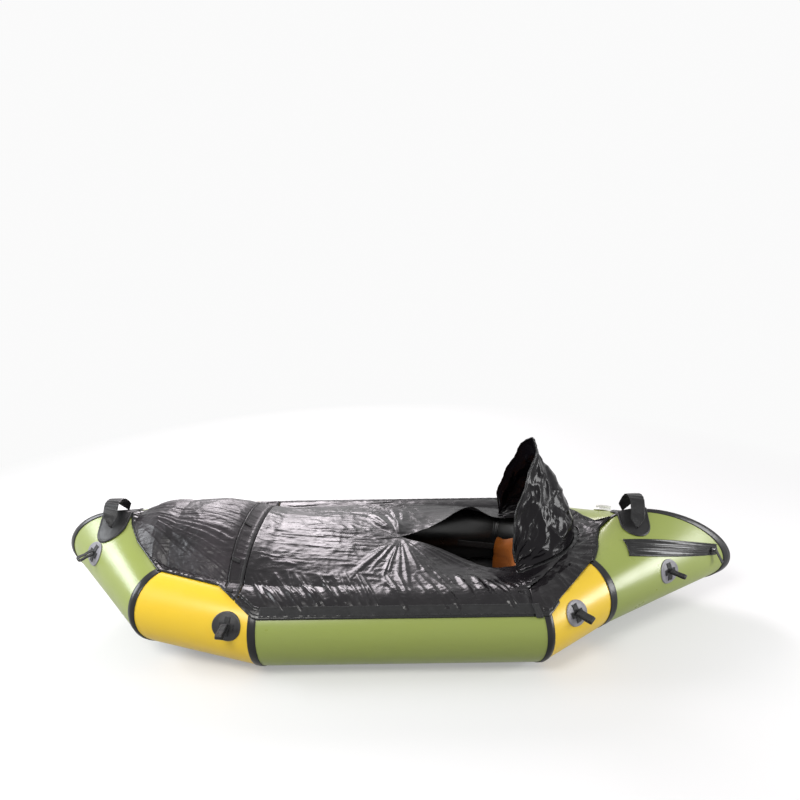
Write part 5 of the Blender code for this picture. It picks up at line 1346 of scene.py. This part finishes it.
def standing_strap(name, middle_x, room, node, body):
    """A strap that rises in an arch, with that much room for a hand under it."""
    foot = float(tube_top(middle_x, HANDLE_SPAN / 2, PAD_LIFT + PATCH_THICKNESS + 0.0004))
    axis = np.array((middle_x, 0.0, foot + FOOT_RADIUS))
    saddle = float(tube_top(middle_x, 0.0, PAD_LIFT))
    arch = (foot if np.isnan(saddle) else saddle) + room - axis[2]
    rings = []
    for s in crowded(90):
        rise = arch * (1 - abs(2 * s - 1) ** 2.4)
        half = min(FOOT_RADIUS + max(rise, 0) * 0.70, HANDLE_WIDTH / 2)
        flat = (half - FOOT_RADIUS) / (HANDLE_WIDTH / 2 - FOOT_RADIUS)
        depth = FOOT_RADIUS + (WEBBING_THICKNESS / 2 - FOOT_RADIUS) * flat
        t = np.linspace(0, 2 * pi, 48, endpoint=False)
        welt = 1 + 0.9 * flat * np.exp(-(((np.abs(np.cos(t)) - 0.86) / 0.08) ** 2))
        ripple = 0.0007 * flat * np.sin(s * 60 + 2 * np.cos(t))
        middle = axis + np.array((0.0, HANDLE_SPAN * (s - 0.5), rise))
        section = half * np.cos(t), 0 * t, (depth * welt) * np.sin(t) + ripple
        rings.append(middle + np.stack(section, -1))
    made = closed_up(skin(name, np.array(rings), around=True, capped=True))
    return fit_out(made, body, "black_webbing", STRAP_WEBBING, node)


STRAP_WEBBING = webbing("glossy_handle_webbing", 0.0022, 0.30)
BOW_PAD_X, STERN_PAD_X = -1.0190, 0.82001
BOW_HAND_ROOM, STERN_HAND_ROOM = 0.042, 0.056
handle_pad("bow_handle_pad_tape", BOW_PAD_X, 0.246, 0.0005, "bow_handle_pad")
handle_pad("stern_handle_pad_tape", STERN_PAD_X, 0.206, 0.0020, "stern_handle_pad")
bow_handle = "bow_handle_strap", "bow_strap"
standing_strap("bow_handle_webbing", BOW_PAD_X, BOW_HAND_ROOM, *bow_handle)
stern_handle = "stern_handle_strap", "stern_strap"
standing_strap("stern_handle_webbing", STERN_PAD_X, STERN_HAND_ROOM, *stern_handle)


# Inflation valve: a white moulded plastic seat welded to the starboard stern tube, and a ribbed
# cap that turns on it.
def moulded(name, colour, other):
    """Satin moulded plastic with a fine grain."""
    made, tree, shader = plain_finish(name, colour, 0.38)
    mottled(tree, shader, colour, other, 40.0, 0.5)
    bumped(tree, shader, (soft_noise(tree, 900.0, 2.0), "Fac", 0.0001, 0.5))
    return made


WHITE_PLASTIC = moulded("white_valve_plastic", (0.80, 0.80, 0.78), (0.66, 0.66, 0.63))
VALVE_ALONG, VALVE_ANGLE = 4.33, 17.0
valve_place, valve_out, _ = tube_spots(STARBOARD, VALVE_ALONG, VALVE_ANGLE)
valve_base = Vector(valve_place + valve_out * 0.0004)
valve_turn = Vector((0, 0, 1)).rotation_difference(Vector(valve_out))


def turned(name, profile, depth=0.0):
    """A closed profile of rows of radius and height, turned about the valve's axis. A third number
    is the row's share of the grip ribs, which are that deep."""
    rings = []
    for a in np.linspace(0, 2 * pi, 288, endpoint=False):
        ripple = depth * max(0.0, cos(a * GRIP_RIBS)) ** 0.6
        ring = []
        for r, h, *share in profile:
            r = r - ripple * sum(share)
            ring.append(tuple(valve_base + valve_turn @ Vector((r * cos(a), r * sin(a), h))))
        rings.append(ring)
    return closed_up(skin(name, np.array(rings), around=True, looped=True))


GRIP_RIBS = 24
VALVE_FLANGE = [(0.0340, 0.0002), (0.0340, 0.0024), (0.0334, 0.0033), (0.0300, 0.0040)]
VALVE_NECK = [(0.0290, 0.0050), (0.0282, 0.0092), (0.0274, 0.0100)]
VALVE_BORE = [(0.0190, 0.0100), (0.0180, 0.0090), (0.0180, 0.0002)]
valve_seat = turned("valve_seat_moulding", VALVE_FLANGE + VALVE_NECK + VALVE_BORE)
fit_out(valve_seat, "hull", "white_plastic", WHITE_PLASTIC, "valve_seat")
CAP_PLUG = [(0.0, 0.0034), (0.0168, 0.0034), (0.0170, 0.0104), (0.0270, 0.0104)]
CAP_GRIP = [(0.0280, 0.0112, 1), (0.0280, 0.0150, 1), (0.0280, 0.0190, 1), (0.0272, 0.0206, 0.6)]
CAP_TOP = [(0.0250, 0.0216), (0.0215, 0.0220), (0.0205, 0.0208), (0.0080, 0.0206)]
CAP_TOP += [(0.0070, 0.0218), (0.0, 0.0219)]
valve_cap = turned("valve_cap_moulding", CAP_PLUG + CAP_GRIP + CAP_TOP, 0.0012)
fit_out(valve_cap, "valve_cap", "white_plastic", WHITE_PLASTIC, "valve_cap")


# Cargo zip: a watertight zip welded along the port stern tube, in a black strip with raised edges
# and ribs along it. A slider with a metal bridge runs on it, and a webbing tag hangs from that.
ZIP_TAPE = black_tape("black_zip_tape", 0.19)
ZIP_START, ZIP_RUN, ZIP_END_ANGLE, ZIP_CURVE = 4.33, 0.57, 62.0, 0.18
ZIP_WIDE, ZIP_NARROW, ZIP_LIFT, ZIP_THICKNESS = 0.070, 0.040, 0.0011, 0.0014


def zip_middle(f):
    """Along and angle of the zip's middle line, at a share of its length."""
    return ZIP_START + ZIP_RUN * f, ZIP_END_ANGLE * (ZIP_CURVE + f - ZIP_CURVE * f**2)


def zip_spots(f, off=0.0, lift=0.0):
    """Points across the zip at one place along it; off is outboard."""
    along, angle = zip_middle(f)
    ahead = tube_surface(PORT, *zip_middle(f + 0.01)) - tube_surface(PORT, *zip_middle(f - 0.01))
    _, out, direction = tube_spots(PORT, along, angle)
    around = tube_surface(PORT, along, angle + 1) - tube_surface(PORT, along, angle - 1)
    across = np.cross(ahead, out)
    across /= np.linalg.norm(across)
    square = around - direction * around.dot(direction)
    square /= np.linalg.norm(square)
    off = off if across.dot(square) > 0 else -off
    steps = off * across.dot(direction), off * across.dot(square)
    return tube_spots(PORT, along, angle, *steps, lift)[0]


# Place across the strip, width and height of each rib
ZIP_RIBS = (
    (0.30, 0.0020, 0.0014),
    (0.42, 0.0018, 0.0016),
    (0.58, 0.0018, 0.0016),
    (0.70, 0.0020, 0.0014),
)
low, high = [], []
s = np.linspace(0, 1, 61)
for f in np.linspace(0, 1, 190):
    width = ZIP_WIDE + (ZIP_NARROW - ZIP_WIDE) * f**1.5
    off = width * (s - 0.5)
    edge = np.minimum(s, 1 - s) * width
    relief = 0.0016 * np.exp(-(((edge - 0.0035) / 0.0022) ** 2))
    for place, size, rise in ZIP_RIBS:
        relief += rise * np.exp(-(((s - place) * width / size) ** 2))
    teeth = 0.0012 * np.exp(-(((s - 0.5) * width / 0.0030) ** 4))
    crinkle = 0.0030 * np.exp(-f / 0.05) * np.sin(s * 34 + 4 * np.sin(s * 9)) ** 2
    thick = ZIP_THICKNESS * np.clip(edge / 0.0010, 0.25, 1)
    thick = thick + (relief + teeth + crinkle) * np.clip(edge / 0.0015, 0, 1)
    low.append(zip_spots(f, off, ZIP_LIFT))
    high.append(zip_spots(f, off, ZIP_LIFT + thick))
low, high = np.array(low), np.array(high)
fit_out(strap("zip_strip_tape", low, high), "hull", "black_tape", ZIP_TAPE, "zip_strip")
out = (high - low) / np.linalg.norm(high - low, axis=2, keepdims=True)
# The thread and the teeth stop short of the strip's ends
high, out = high[8:-2], out[8:-2]
for row in (9, 51):
    STITCHES["hull"].append((high[:, row] + THREAD_RISE * out[:, row], out[:, row]))

BLACK_PLASTIC = moulded("black_slider_plastic", (0.020, 0.020, 0.021), (0.050, 0.050, 0.052))
tooth_line, tooth_size = (high[:, 30], out[:, 30]), (0.0016, 0.0052, 0.0018)
bits("zip_teeth", [tooth_line], 0.0026, tooth_size, "hull", "black_tape", BLACK_PLASTIC)
STEEL, tree, shader = plain_finish("slider_steel", (0.62, 0.62, 0.64), 0.28, Metallic=1.0)
varied_roughness(tree, shader, 0.22, 0.38, 60.0)
SLIDER_SIZE, SLIDER_PLACE = (0.026, 0.014, 0.0060), 0.94
slider_base = Vector(zip_spots(SLIDER_PLACE, 0.0, 0.0033 + 0.0012))
slider_ahead = zip_spots(SLIDER_PLACE + 0.03) - zip_spots(SLIDER_PLACE - 0.03)
slider_ahead = Vector(slider_ahead).normalized()
slider_across = zip_spots(SLIDER_PLACE, -0.01) - zip_spots(SLIDER_PLACE, 0.01)
slider_out = slider_ahead.cross(Vector(slider_across)).normalized()


def block(name, place, ahead, out, size, pinch, rounding):
    """A bevelled block with its base at a place, narrower in the middle by a share."""
    square = out.cross(ahead).normalized()
    ahead = square.cross(out).normalized()
    length, width, height = size
    rings = []
    for x in np.linspace(-0.5, 0.5, 9).tolist():
        narrow = 1 - pinch * (1 - (2 * x) ** 2)
        ring = []
        for y, z in ((-0.5, 0.0), (0.5, 0.0), (0.5, 1.0), (-0.5, 1.0)):
            corner = place + ahead * (x * length) + square * (y * width * narrow)
            ring.append(tuple(corner + out * (z * height)))
        rings.append(ring)
    piece = closed_up(skin(name, np.array(rings), around=True, capped=True))
    round_over = piece.modifiers.new("rounding", "BEVEL")
    round_over.width, round_over.segments = rounding, 3
    round_over.limit_method = "ANGLE"
    made_plain(piece)
    piece.data.shade_smooth()
    return piece


slider_way = slider_base, slider_ahead, slider_out
slider = block("zip_slider_body", *slider_way, SLIDER_SIZE, 0.22, 0.0012)
fit_out(slider, "zip_slider", "black_plastic", BLACK_PLASTIC, "zip_slider")
BRIDGE_FOOT, BRIDGE_RISE, BRIDGE_HALF, BRIDGE_RADIUS = 0.0050, 0.0026, 0.0085, 0.0011
arch = []
for a in np.linspace(0, pi, 17):
    raised = slider_base + slider_out * (BRIDGE_FOOT + BRIDGE_RISE * sin(a))
    arch.append(tuple(raised + slider_ahead * (BRIDGE_HALF * cos(a))))
bridge = rod("zip_slider_bridge", arch, BRIDGE_RADIUS)
fit_out(bridge, "zip_slider", "black_plastic", STEEL)
slider_square = slider_ahead.cross(slider_out).normalized()
if slider_square.z > 0:
    slider_square = -slider_square
# The pull hangs down to port and aft, and lies close to the tube
PULL_SIZE, PULL_HINGE_RISE = (0.060, 0.013, 0.0028), 0.0084
pull_hinge = slider_base + slider_out * PULL_HINGE_RISE
pull_ahead = (slider_ahead * 0.55 + slider_square * 0.80 + slider_out * 0.10).normalized()
pull_side = pull_ahead.cross(slider_out).normalized()
pull_out = pull_side.cross(pull_ahead).normalized()
if pull_out.dot(slider_out) < 0:
    pull_out = -pull_out
pull_middle = pull_hinge + pull_ahead * (PULL_SIZE[0] / 2)
tag = block("zip_pull_tag", pull_middle, pull_ahead, pull_out, PULL_SIZE, 0.18, 0.0009)
fit_out(tag, "zip_pull", "black_webbing", LOOP_WEBBING, "zip_pull")


# Stitches: black polyester thread along the bindings, the band, the pads, the zip and the webbing.
# One mesh for each body, so that every stitch moves with the cloth that it holds.
STITCH_PITCH, STITCH_SIZE = 0.0052, (0.0036, 0.0011, 0.0009)
THREAD, tree, shader = plain_finish("black_thread", SOFT_BLACK, 0.55)
mottled(tree, shader, (0.016, 0.016, 0.018), (0.060, 0.060, 0.064), 300.0, 0.6)
for body, lines in STITCHES.items():
    bits(body + "_stitches", lines, STITCH_PITCH, STITCH_SIZE, body, "black_tape", THREAD)


# Floor, light and camera: a plain pale studio, seen from the photograph's angle. The paper glows
# further out, so that the ground fades to white.
FLOOR_ENDS = (-9.0, 9.0)
WHITE, WHITE_STRENGTH = (1, 1, 1, 1), 0.96
corners = np.array([[(x, y, 0.0) for y in FLOOR_ENDS] for x in FLOOR_ENDS])
stage_floor = skin("studio_floor", corners, flip=True)
stage_floor.location.z = -0.001


def background_rays(tree):
    """The light path, and a 1 for the rays that meet the white background as the camera does."""
    ray = add(tree, "LightPath")
    seen = {0: (ray, "Is Camera Ray"), 1: (ray, "Is Glossy Ray")}
    seen = add(tree, "Math", seen, operation="MAXIMUM")
    seen = {0: (seen, "Value"), 1: (ray, "Is Transmission Ray")}
    return ray, add(tree, "Math", seen, operation="MAXIMUM")


paper, tree, shader = plain_finish("studio_paper", (0.88, 0.88, 0.88), 0.9)
place = add(tree, "TexCoord")
far = add(tree, "VectorMath", {0: (place, "Object")}, operation="LENGTH")
fade = {"Value": (far, "Value"), "From Min": 1.3, "From Max": 3.0, "To Min": 0.30}
fade = add(tree, "MapRange", fade)
ray, seen = background_rays(tree)
# The floor throws less light back at the raft than it shows to the camera
bounce = add(tree, "MapRange", {"Value": (ray, "Is Camera Ray"), "To Min": 0.42, "To Max": 0.88})
tree.links.new(bounce.outputs["Result"], shader.inputs["Base Color"])
share = add(tree, "Math", {0: (fade, "Result"), 1: (seen, "Value")}, operation="MULTIPLY")
glow = add(tree, "Emission", {"Color": WHITE, "Strength": WHITE_STRENGTH})
blend = {"Fac": (share, "Value"), 1: (shader, "BSDF"), 2: (glow, "Emission")}
blend = add(tree, "MixShader", blend)
tree.links.new(blend.outputs["Shader"], tree.nodes["Material Output"].inputs["Surface"])
stage_floor.data.materials.append(paper)

world = bpy.data.worlds.new("studio")
bpy.context.scene.world = world
world.use_nodes = True
tree = world.node_tree
sky = tree.nodes["Background"]
sky.inputs["Color"].default_value = (0.90, 0.90, 0.92, 1)
sky.inputs["Strength"].default_value = 0.42
white = add(tree, "Background", {"Color": WHITE, "Strength": WHITE_STRENGTH})
ray, seen = background_rays(tree)
blend = {"Fac": (seen, "Value"), 1: (sky, "Background"), 2: (white, "Background")}
blend = add(tree, "MixShader", blend)
tree.links.new(blend.outputs["Shader"], tree.nodes["World Output"].inputs["Surface"])

# Name, place, size, watts and colour; each lamp points at the middle of the boat
LAMPS = (
    ("key", (-1.3, -1.9, 3.0), 1.3, 58.0, (1.0, 0.98, 0.95)),
    ("bow side", (-3.1, 0.0, 1.7), 1.3, 52.0, (0.93, 0.96, 1.0)),
    ("stern side", (3.2, -0.8, 1.1), 1.1, 42.0, (1.0, 1.0, 1.0)),
    ("back", (-1.1, 3.6, 2.6), 2.2, 150.0, (1.0, 0.92, 0.97)),
)
for name, place, size, power, colour in LAMPS:
    light = bpy.data.lights.new(name, "AREA")
    light.shape, light.size, light.energy, light.color = "DISK", size, power, colour
    lamp = bpy.data.objects.new(name, light)
    lamp.location = place
    toward = Vector((0, 0, 0.25)) - Vector(place)
    lamp.rotation_euler = toward.to_track_quat("-Z", "Y").to_euler()
    bpy.context.scene.collection.objects.link(lamp)

CAMERA_TARGET, CAMERA_DISTANCE = Vector((0, 0, 0.15)), 2.1214
azimuth, elevation, roll = radians(0.2573), radians(30.6003), radians(-0.9332)
back = Vector((sin(azimuth) * cos(elevation), -cos(azimuth) * cos(elevation), sin(elevation)))
right = Vector((cos(azimuth), sin(azimuth), 0))
up = back.cross(right)
right, up = right * cos(roll) + up * sin(roll), up * cos(roll) - right * sin(roll)
lens = bpy.data.cameras.new("camera")
lens.sensor_width, lens.lens = 36.0, 25.17
lens.shift_x, lens.shift_y = -0.0047, 0.2078
camera = bpy.data.objects.new("camera", lens)
facing = Matrix((right, up, back)).transposed().to_4x4()
camera.matrix_world = Matrix.Translation(CAMERA_TARGET + back * CAMERA_DISTANCE) @ facing
bpy.context.scene.collection.objects.link(camera)
bpy.context.scene.camera = camera
bpy.context.scene.view_settings.view_transform = "Standard"
